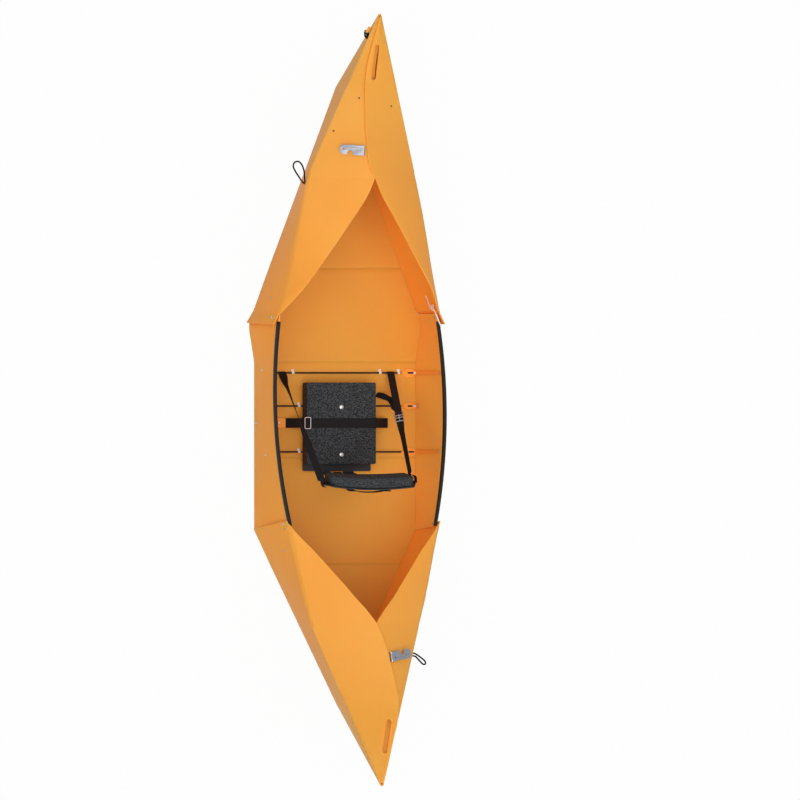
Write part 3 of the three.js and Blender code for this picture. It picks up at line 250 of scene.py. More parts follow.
def end_rows(end, side, at, wall_count, deck_count):
    """One station's section: the side's points up to the fold, then the deck's points from there on."""
    upper = side == end["upper"]
    rise = (lambda share: lap_rise(end, at, share)) if upper else (lambda share: 0)
    if at >= end["deck"]:
        half = shoulder(end, at)[0]
        width = max(np.linalg.norm(deck(end, side, at, 0) - rim(end, side, at)), 1e-6)
        beyond = min(1, max(0, (at - end["apex"]) / (1 - end["deck"])))
        tuck = min(OVERLAP, half * beyond, half * DECK_BULGE)
        tuck = 0 if upper else max(tuck, linear(UNDER_SLOT[end["body"]], at, 1)) / width
        sag = linear(SLOT_SAG[end["body"]], at, 1)
        deck_line = []
        for share in np.linspace(0, 1 + tuck, 40):
            point = deck(end, side, at, share)
            past = (share - 1) / max(tuck, 0.01)
            point[2] += rise(share) - sag * smooth01(past * 1.6)
            deck_line.append(point)
        return resample(wall_line(end, side, at, 0.8), wall_count), resample(deck_line, deck_count)
    line = wall_line(end, side, at, 0)
    fold_at = distances(line)[-1]
    if at > end["edge"]:
        for share in np.linspace(0, 1, 60)[1:]:
            point = deck(end, side, at, share)
            point[2] += rise(share)
            line.append(point)
    total = distances(line)[-1]
    if total - fold_at < NARROWEST_DECK:
        return resample(line, wall_count), None
    fine = resample(line, int(total / FINE_STEP) + 1)
    radius = lerp(26, 4, min(1, max(0, (at - 0.22) / (end["deck"] - 0.25))))
    radius = min(radius, (total - fold_at) * 0.6)
    fine = soften(fine, radius, total / (len(fine) - 1))
    cut = int(round((fold_at + min(8, (total - fold_at) * 0.4)) / FINE_STEP))
    cut = min(max(cut, 2), len(fine) - 3)
    return resample(fine[:cut + 1], wall_count), resample(fine[cut:], deck_count)


def turned(end, rows):
    """Both ends are worked out pointing forward; this turns the stern's points aft."""
    rows = np.array(rows)
    rows[..., 1] *= end["way"]
    return rows


def stations(low, high, step, *more):
    """Even stations with the given ones among them, none of them too close to the last."""
    count = max(2, int(math.ceil((high - low) / step)) + 1)
    keys = set(np.linspace(low, high, count).tolist())
    keys.update(value for value in more if low < value < high)
    ordered = sorted(keys)
    kept = [ordered[0]]
    for value in ordered[1:]:
        if value - kept[-1] > step * 0.15:
            kept.append(value)
    kept[-1] = high
    return kept


# Meshes

def normals_of(rows):
    along = np.gradient(rows, axis=0)
    across = np.gradient(rows, axis=1)
    normal = np.cross(along, across)
    length = np.linalg.norm(normal, axis=2, keepdims=True)
    return normal / np.maximum(length, 1e-9)


def offset_rows(rows, thickness, towards):
    normal = normals_of(rows)
    middle = normal[len(rows) // 2, rows.shape[1] // 2]
    sign = 1 if float(middle @ np.array(towards)) > 0 else -1
    return rows + normal * thickness * sign


def linked(name, data):
    obj = bpy.data.objects.new(name, data)
    bpy.context.scene.collection.objects.link(obj)
    return obj


def ring_faces(count, n, closed=False):
    """Faces between rings of n points each, capped at both ends unless the last ring meets the first."""
    faces = []
    for i in range(count if closed else count - 1):
        a, b = i * n, (i + 1) % count * n
        faces += [(a + k, a + (k + 1) % n, b + (k + 1) % n, b + k) for k in range(n)]
    if not closed:
        faces += [tuple(range(n)), tuple(range((count - 1) * n, count * n))]
    return faces


def finished(mesh, smooth, weld, sliver=0):
    """Welds a mesh's doubled points, drops its slivers, turns it outward and smooths it up to an angle."""
    bm = bmesh.new()
    bm.from_mesh(mesh)
    bmesh.ops.remove_doubles(bm, verts=bm.verts, dist=weld)
    if sliver:
        bmesh.ops.dissolve_degenerate(bm, edges=bm.edges, dist=sliver)
    bmesh.ops.recalc_face_normals(bm, faces=bm.faces)
    bm.to_mesh(mesh)
    bm.free()
    mesh.shade_smooth()
    mesh.set_sharp_from_angle(angle=math.radians(smooth))
    return mesh


def mesh_object(name, verts, faces, smooth=40, edges=()):
    """A mesh with welded points and outward normals; the faces listed as edges get the second material."""
    mesh = bpy.data.meshes.new(name)
    mesh.from_pydata([tuple(v) for v in verts], [], faces)
    for k in edges:
        mesh.polygons[k].material_index = 1
    return linked(name, finished(mesh, smooth, 2e-5, 1e-5))


def shell(name, rows_a, rows_b, smooth=40):
    """A closed slab between two grids of points, given in millimetres."""
    n, m = rows_a.shape[:2]
    verts = np.concatenate([rows_a.reshape(-1, 3), rows_b.reshape(-1, 3)]) * MM
    off = n * m
    faces = []
    for a in (i * m + j for i in range(n - 1) for j in range(m - 1)):
        faces += [(a, a + 1, a + m + 1, a + m), (off + a, off + a + m, off + a + m + 1, off + a + 1)]
    flat, last = len(faces), (n - 1) * m
    for a, step in [(i * m, m) for i in range(n - 1)] + [(last + j, 1) for j in range(m - 1)]:
        faces.append((a, a + step, off + a + step, off + a))
    for a, step in [(i * m + m - 1, m) for i in range(n - 1)] + [(j, 1) for j in range(m - 1)]:
        faces.append((a, off + a, off + a + step, a + step))
    return mesh_object(name, verts, faces, smooth, range(flat, len(faces)))


def sheet_piece(name, rows, towards, thickness=SHEET):
    rows = np.array(rows)
    return shell(name, rows, offset_rows(rows, thickness, towards))


def bevel(obj, width, segments=2, angle=50, tone=-1):
    """Rounds the edges; the tone is the material of the rounding, or -1 for its neighbours'."""
    mod = obj.modifiers.new("edge", "BEVEL")
    mod.material = tone
    mod.width = width * MM
    mod.segments = segments
    mod.limit_method = "ANGLE"
    mod.angle_limit = math.radians(angle)
    mod.harden_normals = False
    return obj


def apply_modifiers(obj):
    depsgraph = bpy.context.evaluated_depsgraph_get()
    mesh = bpy.data.meshes.new_from_object(obj.evaluated_get(depsgraph))
    obj.modifiers.clear()
    obj.data = mesh
    return obj


def cut(obj, tool):
    mod = obj.modifiers.new("cut", "BOOLEAN")
    mod.operation = "DIFFERENCE"
    mod.solver = "EXACT"
    mod.object = tool
    apply_modifiers(obj)
    bpy.data.objects.remove(tool)


def tube(name, points, radius, sides=16, closed=False, section=None, ups=None):
    """A tube through points in millimetres; its section doesn't twist unless its up directions are given."""
    points = np.array(points, float)
    n = len(points)
    ahead = np.gradient(points, axis=0) if not closed else np.roll(points, -1, 0) - np.roll(points, 1, 0)
    ahead /= np.linalg.norm(ahead, axis=1, keepdims=True)
    section = section or arc(0, 0, 1, 0, 360, sides)[:-1]
    sides = len(section)
    radii = np.broadcast_to(np.array(radius, float), (n,))
    up = vec(0, 0, 1) if abs(ahead[0][2]) < 0.9 else vec(1, 0, 0)
    verts = []
    for i in range(n):
        if ups is not None:
            up = ups[i]
        up = unit(up - ahead[i] * float(up @ ahead[i]))
        out = np.cross(ahead[i], up)
        verts += [points[i] + (out * x + up * y) * radii[i] for x, y in section]
    return mesh_object(name, np.array(verts) * MM, ring_faces(n, sides, closed))


def spline(points, count):
    """A smooth line through given points, read at even spacing."""
    pts = [np.array(p, float) for p in points]
    pts = [2 * pts[0] - pts[1]] + pts + [2 * pts[-1] - pts[-2]]
    line = []
    for i in range(1, len(pts) - 2):
        p0, p1, p2, p3 = pts[i - 1:i + 3]
        for t in np.linspace(0, 1, 16, endpoint=False):
            line.append(0.5 * (2 * p1 + (p2 - p0) * t + (2 * p0 - 5 * p1 + 4 * p2 - p3) * t ** 2
                               + (3 * p1 - p0 - 3 * p2 + p3) * t ** 3))
    line.append(pts[-2])
    return resample(line, count)


def rounded_outline(width, height, radius, steps=6):
    w, h = width / 2, height / 2
    points = []
    for quarter, (x, y) in enumerate(((1, 1), (-1, 1), (-1, -1), (1, -1))):
        points += arc(x * (w - radius), y * (h - radius), radius, 90 * quarter, 90 * quarter + 90, steps)
    return points


def lathe(name, profile, matrix, segments=28):
    """A turned piece about its own Z, profile as (radius, height) in millimetres."""
    verts = [(x, y, z) for r, z in profile for x, y in arc(0, 0, r, 0, 360, segments)[:-1]]
    obj = mesh_object(name, np.array(verts) * MM, ring_faces(len(profile), segments), 32)
    obj.data.transform(matrix)
    return obj


def frame_matrix(x, y, z, origin):
    """Columns are the three directions; the origin is in millimetres."""
    return Matrix([(x[row], y[row], z[row], origin[row] * MM) for row in range(3)] + [(0, 0, 0, 1)])


def facing(normal, origin, near=(0, 1, 0)):
    """A stand whose Z is the normal and whose Y lies as near to the given direction as it can."""
    z = unit(np.array(normal, float))
    x = np.cross(np.array(near, float), z)
    x = unit(x) if np.linalg.norm(x) > 1e-6 else vec(1, 0, 0)
    return frame_matrix(x, np.cross(z, x), z, origin)


def join(name, pieces):
    """One mesh from several pieces, which are taken out of the scene."""
    verts, faces, base = [], [], 0
    mesh = bpy.data.meshes.new(name)
    for piece in pieces:
        verts += [piece.matrix_world @ v.co for v in piece.data.vertices]
        faces += [tuple(base + i for i in polygon.vertices) for polygon in piece.data.polygons]
        base += len(piece.data.vertices)
    mesh.from_pydata(verts, [], faces)
    mesh.shade_smooth()
    mesh.set_sharp_from_angle(angle=math.radians(38))
    obj = linked(name, mesh)
    for piece in pieces:
        bpy.data.objects.remove(piece)
    return obj


# Materials

def srgb(r, g, b):
    def part(c):
        c /= 255
        return c / 12.92 if c <= 0.04045 else ((c + 0.055) / 1.055) ** 2.4
    return (part(r), part(g), part(b), 1)


def set_inputs(node, **inputs):
    """Sets a node's inputs by name; an underscore stands for a blank."""
    for key, value in inputs.items():
        node.inputs[key.replace("_", " ")].default_value = value


def add_node(nodes, kind, **inputs):
    node = nodes.new(f"ShaderNode{kind}")
    set_inputs(node, **inputs)
    return node


class Recipe:
    """A node material being put together round its shader, in the object's own coordinates."""

    def __init__(self, name, roughness, metallic=0.0, **inputs):
        self.material = bpy.data.materials.new(name)
        self.material.use_nodes = True
        self.nodes, self.links = self.material.node_tree.nodes, self.material.node_tree.links
        self.shader = self.nodes["Principled BSDF"]
        set_inputs(self.shader, Roughness=roughness, Metallic=metallic, **inputs)
        self.coords = self.add("TexCoord").outputs["Object"]

    def add(self, kind, **inputs):
        return add_node(self.nodes, kind, **inputs)

    def texture(self, kind, stretch=None, **inputs):
        """A texture node laid over the object, stretched along its axes if need be."""
        node, coords = self.add(kind, **inputs), self.coords
        if stretch:
            mapping = self.add("Mapping", Scale=stretch)
            self.links.new(coords, mapping.inputs["Vector"])
            coords = mapping.outputs["Vector"]
        self.links.new(coords, node.inputs["Vector"])
        return node

    def noise(self, scale, detail=3, stretch=None):
        return self.texture("TexNoise", stretch, Scale=scale, Detail=detail).outputs["Fac"]

    def ramp(self, source, *stops):
        node = self.add("ValToRGB")
        for element, (place, color) in zip(node.color_ramp.elements, stops):
            element.position = place
            element.color = color
        self.links.new(source, node.inputs["Fac"])
        return node.outputs["Color"]

    def colour(self, source):
        self.links.new(source, self.shader.inputs["Base Color"])

    def bump(self, height, strength, distance):
        node = self.add("Bump", Strength=strength, Distance=distance)
        self.links.new(height, node.inputs["Height"])
        self.links.new(node.outputs["Normal"], self.shader.inputs["Normal"])


def shade(color, share):
    return tuple(min(1, c * share) for c in color[:3]) + (1,)


def sheet_material(name, low, high, scuff):
    """Slightly translucent plastic, its colour clouded, with faint scuffs along the boat."""
    made = Recipe(name, 0.5, Specular_IOR_Level=0.25, Subsurface_Weight=0.5, Subsurface_Scale=0.035,
                  Subsurface_Radius=(1.0, 0.35, 0.1))
    mix = made.add("Mix")
    mix.data_type = "RGBA"
    scuffs = made.noise(90, 4, (1, 0.06, 1))
    marks = made.ramp(scuffs, (0.70, (0, 0, 0, 1)), (0.82, (0.25, 0.25, 0.25, 1)))
    made.links.new(marks, mix.inputs["Factor"])
    made.links.new(made.ramp(made.noise(1.3, 2), (0.3, low), (0.7, high)), mix.inputs["A"])
    mix.inputs["B"].default_value = scuff
    made.colour(mix.outputs["Result"])
    rough = made.add("MapRange", To_Min=0.5, To_Max=0.62)
    made.links.new(made.noise(25, 3), rough.inputs["Value"])
    made.links.new(rough.outputs["Result"], made.shader.inputs["Roughness"])
    made.bump(made.noise(900, 2), 0.12, 0.0004)
    return made.material


def speckled(name, dark, light, scale, roughness, strength, distance):
    made = Recipe(name, roughness, Specular_IOR_Level=0.15)
    made.colour(made.ramp(made.noise(scale * 0.7, 4), (0.42, dark), (0.62, light)))
    made.bump(made.texture("TexVoronoi", Scale=scale).outputs["Distance"], strength, distance)
    return made.material


def plain(name, color, roughness, grain=600, strength=0.1, spread=0.12):
    made = Recipe(name, roughness, Specular_IOR_Level=0.3)
    made.colour(made.ramp(made.noise(14), (0.3, shade(color, 1 - spread)), (0.7, shade(color, 1 + spread))))
    made.bump(made.noise(grain), strength, 0.0003)
    return made.material


def brushed(name, color, roughness, stretch=(1, 40, 1)):
    made = Recipe(name, roughness, 1.0)
    lines = made.noise(60, 3, stretch)
    made.colour(made.ramp(lines, (0.35, shade(color, 0.8)), (0.65, color)))
    made.bump(lines, 0.08, 0.0002)
    return made.material


def woven(name, color, scale=620):
    made = Recipe(name, 0.8, Specular_IOR_Level=0.25)
    waves = made.texture("TexWave", Scale=scale / 3, Distortion=0.4)
    waves.bands_direction = "DIAGONAL"
    made.colour(made.ramp(waves.outputs["Fac"], (0.2, shade(color, 0.55)), (0.8, color)))
    made.bump(waves.outputs["Fac"], 0.35, 0.0004)
    return made.material


SHEET_MAT = sheet_material("hull_sheet", srgb(250, 155, 56), srgb(253, 163, 66), srgb(251, 196, 112))
# A lighter copy of the hull sheet for the starboard wall's inner face: painted light.
PAINTED_LIGHT_WALL_MAT = sheet_material("painted_light_wall_sheet", srgb(254, 171, 74), srgb(255, 178, 84),
                                srgb(253, 204, 128))
# A lighter colour for the sheet's cut edges and their roundings: a painted highlight.
PAINTED_HIGHLIGHT_EDGE_MAT = plain("painted_highlight_sheet_edge", srgb(252, 206, 128), 0.55, 900, 0.1, 0.04)
BRACE_MAT = plain("brace_sheet", srgb(252, 158, 61), 0.5, 900, 0.1, 0.03)
# A darker, redder colour for the brace's sides and chamfers: painted shade along its edges.
BRACE_SHADE_EDGE = plain("brace_painted_shade_edge", srgb(214, 98, 34), 0.6, 900, 0.1, 0.05)
# Dark brown for the bow's upper flap edge: a painted shadow of the gap beneath it.
SEAM_SHADOW_MAT = plain("painted_seam_shadow", srgb(120, 66, 22), 0.7, 700, 0.1, 0.1)
FOAM = speckled("foam", srgb(33, 35, 37), srgb(75, 78, 80), 340, 0.95, 0.5, 0.0008)
BLACK = plain("black_plastic", srgb(20, 19, 19), 0.6)
BOARD = plain("board", srgb(44, 44, 47), 0.5, 900, 0.25)
WEB = woven("webbing", srgb(24, 23, 25))
CORD = woven("cord", srgb(7, 7, 8), 900)
STEEL = brushed("steel", srgb(196, 198, 202), 0.34)
LIGHT = brushed("light_metal", srgb(236, 235, 232), 0.28, (1, 1, 1))
LATCH = brushed("latch_metal", srgb(176, 178, 184), 0.5)
WIRE = plain("hook_wire", srgb(232, 230, 224), 0.4, 300, 0.05, 0.03)
ROD = plain("rod", srgb(24, 24, 26), 0.35)


def dress(obj, material, slot, body=None, *nodes):
    """Gives a piece its material, hides the nodes it stands for and hangs it on the body it rides on; the
    slot is only read to add a second material to hull sheet pieces.
    """
    obj.data.materials.clear()
    obj.data.materials.append(material)
    # Hull sheet pieces take the painted highlight as their second material, on their cut edges and roundings.
    if slot == "hull_sheet":
        obj.data.materials.append(PAINTED_HIGHLIGHT_EDGE_MAT)
    if nodes:
        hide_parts(*nodes)
    if body:
        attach(obj, body)
    return obj


# Camera: looks down on the deck, leaning to port as in the photograph
LEAN = math.radians(21)
MM_PER_PIXEL = 3.95
IMAGE_SIDE = 800
MIDLINE_AT = 335
CAMERA_AWAY = 8000
right = Vector((math.cos(LEAN), 0, math.sin(LEAN)))
back = Vector((-math.sin(LEAN), 0, math.cos(LEAN)))
camera_data = bpy.data.cameras.new("camera")
camera_data.type = "ORTHO"
camera_data.ortho_scale = IMAGE_SIDE * MM_PER_PIXEL * MM
camera = linked("camera", camera_data)
middle = right * ((IMAGE_SIDE / 2 - MIDLINE_AT) * MM_PER_PIXEL)
camera.matrix_world = frame_matrix(right, (0, 1, 0), back, middle + back * CAMERA_AWAY)
camera_data.clip_end = 50
bpy.context.scene.camera = camera

# Cord loops: the same points as the solids
BOW_LOOP = [(-228.2, 860, 262), (-231.1, 881, 266), (-233.3, 904.5, 266), (-240.2, 928, 262),
            (-253.1, 942, 257), (-268.1, 938, 252), (-272.4, 922, 250), (-263.5, 902.6, 251),
            (-249.8, 881, 254), (-238.3, 863, 257), (-226.7, 855, 254)]
STERN_LOOP = [(186.8, -1000, 345), (204.3, -1001, 344), (220.3, -1009, 341), (238.8, -1021, 337),
              (252.6, -1032, 334), (254.2, -1043, 332), (244, -1043, 332), (230.2, -1031, 335),
              (217.2, -1019, 338), (206.2, -1011.5, 339), (182.6, -1010, 338)]


def cord_loop(name, points, node):
    line = spline(points, 90)
    obj = dress(tube(name, line, 3.2, 14), CORD, "webbing", "hull", node)
    distances(line)[-1] * MM


cord_loop("bow_loop", BOW_LOOP, "bow_cord_loop")
cord_loop("stern_loop", STERN_LOOP, "stern_cord_loop")


# Hull sheet

SIDE_NAME = {1: "starboard", -1: "port"}
FLAP_FINISH = 0.992
STATION_STEP = 0.0085
WALL_COUNT, DECK_COUNT = 34, 30
EDGE_ROUND = 1.6
SLOT_SIZE = (20, 138)


def end_sheets(end):
    """Both sides of one end, each with the deck flap folded in from it."""
    for side in (-1, 1):
        upper = side == end["upper"]
        keys = [row[0] for row in end["shoulder"] + end["rim"] + end["ridge"]]
        keys += [end["corner"], end["foot"], end["edge"]]
        marks = stations(end["start"], 1, STATION_STEP, *keys)
        walls, decks = [], []
        for at in marks:
            wall_row, deck_row = end_rows(end, side, at, WALL_COUNT, DECK_COUNT)
            walls.append(wall_row)
            if deck_row is not None and at <= FLAP_FINISH:
                decks.append(deck_row)
        name = f'{end["body"]}_{SIDE_NAME[side]}'
        panel = sheet_piece(f"{name}_side_sheet", turned(end, walls), (-side, 0, 0))
        dress(bevel(panel, EDGE_ROUND, tone=1), SHEET_MAT, "hull_sheet", "hull", f"{name}_side")
        flap = sheet_piece(f"{name}_deck_sheet", turned(end, decks), (0, 0, -1))
        if upper:
            cut_slot(flap, end)
        bevel(flap, EDGE_ROUND, tone=1)
        dress(flap, SHEET_MAT, "hull_sheet", None, f"{name}_flap")
        if upper and end is BOW:
            paint_seam_shadow(flap, end)
        apply_modifiers(flap)
        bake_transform(flap)


def paint_seam_shadow(flap, end):
    """Paints shadow dark on the upper flap's free edge beyond the apex, where it laps over the lower one."""
    flap.data.materials.append(SEAM_SHADOW_MAT)
    limit = (end["apex"] - 0.012) * HALF_LENGTH * MM
    for polygon in flap.data.polygons:
        at = abs(polygon.center[1]) / MM / HALF_LENGTH
        inner = abs(polygon.center[0] / MM - rim(end, end["upper"], at)[0]) < 6
        if polygon.material_index == 1 and abs(polygon.center[1]) > limit and inner:
            polygon.material_index = 2


def cut_slot(flap, end):
    """The grab slot, cut straight down through the upper flap."""
    (y0, x0), (y1, x1) = end["slot"]
    near = vec(x0 * HALF_CHINE, y0 * HALF_LENGTH * end["way"], 0)
    far = vec(x1 * HALF_CHINE, y1 * HALF_LENGTH * end["way"], 0)
    along = unit(far - near)
    outline = rounded_outline(*SLOT_SIZE, 9.9, 8)
    middle = (near + far) / 2
    side_way = np.cross(along, vec(0, 0, 1))
    verts = []
    for z in (end["height"] * 0.6, end["height"] * 1.2):
        verts += [middle + side_way * x + along * y + vec(0, 0, z) for x, y in outline]
    cut(flap, mesh_object("slot_cutter", np.array(verts) * MM, ring_faces(2, len(outline))))


for end in (BOW, STERN):
    end_sheets(end)


def floor_sheet():
    """The floor in one piece, pressed in along its four fold lines."""
    groove_depth, groove_width, gap = 2.4, 3.2, 2.0
    lines = [FOLD_SHARE * HALF_LENGTH, -STERN["rocker"] * HALF_LENGTH, BOW["rocker"] * HALF_LENGTH,
             REAR_CREASE]
    ys = set(np.linspace(-(STERN["foot"] - 0.006) * HALF_LENGTH, (BOW["foot"] - 0.006) * HALF_LENGTH, 120))
    for line in lines:
        ys.update(line + d for d in (-5, -3, -1.5, 0, 1.5, 3, 5))
    ys.update([BOW["corner"] * HALF_LENGTH, -STERN["corner"] * HALF_LENGTH])
    tops, bottoms = [], []
    for y in sorted(ys):
        end = BOW if y > 0 else STERN
        at = abs(y) / HALF_LENGTH
        place = chine(end, max(at, end["corner"]))
        half = (place[0] if at > end["corner"] or y < 0 else middle_half(at)) - gap
        groove = sum(groove_depth * math.exp(-((y - line) / groove_width) ** 2) for line in lines)
        xs = np.linspace(-half, half, 25)
        tops.append([vec(x, y, place[2] + SHEET - groove) for x in xs])
        bottoms.append([vec(x, y, place[2] + groove * 0.5) for x in xs])
    obj = shell("floor_sheet", np.array(tops), np.array(bottoms), 60)
    dress(obj, SHEET_MAT, "hull_sheet", "hull", "floor_middle", "floor_fore", "floor_bow", "floor_stern")


floor_sheet()

# The gunwale's line goes through three points: share of the half length, of the half beam, of the height
GUNWALE_ROWS = [(0.194, 0.942, 0.942), (0, 1, 1), (-0.311, 0.867, 1.108)]
WALL_FROM, WALL_TO = -0.326, 0.2235
RAIL_FROM, RAIL_TO = -0.326, 0.203


def gunwale(at):
    across = up = 0
    for row in GUNWALE_ROWS:
        others = [other for other in GUNWALE_ROWS if other is not row]
        weight = math.prod((at - other[0]) / (row[0] - other[0]) for other in others)
        across, up = across + weight * row[1], up + weight * row[2]
    return vec(HALF_BEAM * across, at * HALF_LENGTH, GUNWALE * up)


def wall_point(side, at, share):
    point = lerp(vec(middle_half(at), at * HALF_LENGTH, SEAM), gunwale(at), share)
    point[0] = side * (point[0] + BULGE / 2 * math.sin(math.pi * share))
    return point


def middle_wall(side):
    """A cockpit wall, its rear edge slanted; on the starboard one the inner face gets a lighter copy of the
    sheet, which is painted light.
    """
    def slanted(at, t):
        return at - 0.011 * (1 - t) * max(0, 1 - (at - WALL_FROM) / 0.05)
    marks = np.linspace(WALL_FROM, WALL_TO, 84)
    rows = [[wall_point(side, slanted(at, t), t) for t in np.linspace(0, 1, 22)] for at in marks]
    obj = sheet_piece(f"{SIDE_NAME[side]}_wall_sheet", rows, (-side, 0, 0))
    dress(bevel(obj, 1.5, tone=1), SHEET_MAT, "hull_sheet", "hull", f"{SIDE_NAME[side]}_wall")
    if side == -1:
        return
    # Painted light: the starboard wall's faces turned to port, its inner face, take the lighter copy of the
    # sheet.
    obj.data.materials.append(PAINTED_LIGHT_WALL_MAT)
    for polygon in obj.data.polygons:
        if polygon.material_index == 0 and polygon.normal[0] < -0.5:
            polygon.material_index = 2


def gunwale_rail(side):
    """A split tube pushed over the wall's edge, with soft corners."""
    inner, outer, low, soft, top_radius = -8.6, 4.2, -12, 1.2, 5
    groove_in, groove_out, groove_top = -5.4, 0.9, 0.7
    outline = [(inner + soft, low), (groove_in, low), (groove_in, groove_top), (groove_out, groove_top),
               (groove_out, low), (outer - soft, low), (outer, low + soft)]
    outline += arc(outer - top_radius, 0, top_radius, 0, 90, 8)
    outline += arc(inner + top_radius, 0, top_radius, 90, 180, 8)
    outline.append((inner, low + soft))
    centre = (groove_in + groove_out) / 2
    verts = []
    marks = np.linspace(RAIL_FROM, RAIL_TO, 70)
    for i, at in enumerate(marks):
        top = wall_point(side, at, 1)
        up = unit(top - wall_point(side, at, 0.75))
        out = vec(side, 0, 0)
        out = unit(out - up * float(out @ up))
        tight = 0.9 if i in (0, len(marks) - 1) else 1
        verts += [top + out * ((x - centre) * tight + centre) + up * y * tight for x, y in outline]
    faces = ring_faces(len(marks), len(outline))
    obj = mesh_object(f"{SIDE_NAME[side]}_rail", np.array(verts) * MM, faces, 35)
    dress(obj, BLACK, "black_plastic", "hull", f"{SIDE_NAME[side]}_gunwale_rail")


for side in (-1, 1):
    middle_wall(side)
    gunwale_rail(side)


CHINE_R, CHINE_Z, CREASE_R, STEM_R = 2.6, 2.7, 2.5, 4.3
CREASE_INSET = vec(-2.2, 0, -2.3)


def fold(name, line, radius, sides=12):
    dress(tube(f"{name}_fold", line, radius, sides), SHEET_MAT, "hull_sheet", "hull")


def folds():
    """Rounded folds where the sheet turns: along the chines, the stems and the deck creases."""
    for end in (BOW, STERN):
        name = end["body"]
        foot = chine(end, end["foot"])
        for side in (-1, 1):
            start = vec(side * (HALF_CHINE - CHINE_R), end["corner"] * HALF_LENGTH, CHINE_Z)
            toe = vec(side * (STEM - 2.4), foot[1] - 6, foot[2] + 2.2)
            line = turned(end, [lerp(start, toe, t) for t in np.linspace(0, 1, 40)])
            fold(f"{name}_{SIDE_NAME[side]}_chine", line, CHINE_R)
            crease = shoulder(end, end["deck"] + 1e-6)
            tip = vec(STEM, HALF_LENGTH, end["height"])
            points = []
            for t in np.linspace(0.0, 0.992, 40):
                point = lerp(crease, tip, t) + CREASE_INSET
                point[0] = max(point[0], 1.6) * side
                points.append(point)
            radii = np.full(40, CREASE_R)
            radii[:4] = (0.8, 1.5, 2.0, 2.3)
            fold(f"{name}_{SIDE_NAME[side]}_crease", turned(end, points), radii)
        bottom = foot + vec(-STEM, -2, 4.2)
        top = vec(0, HALF_LENGTH - 4.5, end["height"] - 6)
        line = turned(end, [lerp(bottom, top, t) for t in np.linspace(0, 1, 30)])
        radii = np.full(30, STEM_R)
        radii[-3:] = (4.0, 3.2, 2.0)
        fold(f"{name}_stem", line, radii, 14)
    for side in (-1, 1):
        marks = np.linspace(-STERN["corner"] * HALF_LENGTH, BOW["corner"] * HALF_LENGTH, 90)
        line = [vec(side * (middle_half(y / HALF_LENGTH) - CHINE_R), y, CHINE_Z) for y in marks]
        fold(f"{SIDE_NAME[side]}_middle_chine", line, CHINE_R)


folds()


# Cockpit: rods, clips and braces

FLOOR_TOP = 4.8
ROD_R = 3
ROD_Z = 10.3
ROD_PORT, ROD_STARBOARD = -337.5, 277
ROD_Y = dict(front=107.1, middle=-23.9, rear=-205.0)


def rod(name, y):
    """A cross rod with rounded ends, as stations of a place along X and a radius."""
    ends = [(0, 1.2), (0.5, 2.3), (1.6, 2.9), (3.2, ROD_R)]
    line = [(ROD_PORT + x, r) for x, r in ends]
    line += [(x, ROD_R) for x in np.linspace(ROD_PORT + 20, ROD_STARBOARD - 20, 24)]
    line += [(ROD_STARBOARD - x, r) for x, r in reversed(ends)]
    places, radii = zip(*line)
    obj = tube(f"{name}_rod", [(x, y, ROD_Z) for x in places], radii, 20)
    dress(obj, ROD, "black_plastic", "hull", f"{name}_rod")


for name, y in ROD_Y.items():
    rod(name, y)


def extrude(name, outline, depth, matrix, holes=()):
    """A flat outline (millimetres) given a depth along +Z, with holes, placed by a matrix."""
    curve = bpy.data.curves.new(name, "CURVE")
    curve.dimensions = "2D"
    curve.fill_mode = "BOTH"
    curve.extrude = depth / 2 * MM
    for loop in (outline, *holes):
        line = curve.splines.new("POLY")
        line.points.add(len(loop) - 1)
        for point, (x, y) in zip(line.points, loop):
            point.co = (x * MM, y * MM, 0, 1)
        line.use_cyclic_u = True
    obj = linked(name, curve)
    mesh = bpy.data.meshes.new_from_object(obj.evaluated_get(bpy.context.evaluated_depsgraph_get()))
    bpy.data.objects.remove(obj)
    mesh.transform(matrix @ Matrix.Translation((0, 0, depth / 2 * MM)))
    return linked(name, finished(mesh, 32, 1e-6))


def dome(radius, height, steps=6):
    """A rounded screw head's profile from its rim to its crown."""
    edge = height * 0.35
    points = [(0.001, 0), (radius * 0.97, 0), (radius, height * 0.08), (radius, edge)]
    points += arc(0, edge, radius, 0, 90, steps, (height - edge) / radius)[1:]
    return [(max(0.001, r), z) for r, z in points]


def screw_head(name, place, normal, radius, height, body="hull", material=STEEL, slot="steel", cross=True):
    """A rounded head, with a cross recess unless it is a plain bolt or rivet."""
    matrix = facing(normal, place)
    obj = lathe(name, dome(radius, height), matrix)
    if cross:
        quarter, plus = [(-0.6, -radius / 2), (0.6, -radius / 2), (0.6, -0.6)], []
        for _ in range(4):
            plus += quarter
            quarter = [(-y, x) for x, y in quarter]
        cut(obj, extrude(f"{name}_recess", plus, 4, matrix @ Matrix.Translation((0, 0, (height - 1.0) * MM))))
    return dress(obj, material, slot, body)


CLIPS = [("front_port_clip", -181.8, "front"), ("front_middle_clip", 186.9, "front"),
         ("front_starboard_clip", 265.8, "front"), ("middle_clip", -156, "middle"),
         ("rear_clip", -156, "rear")]


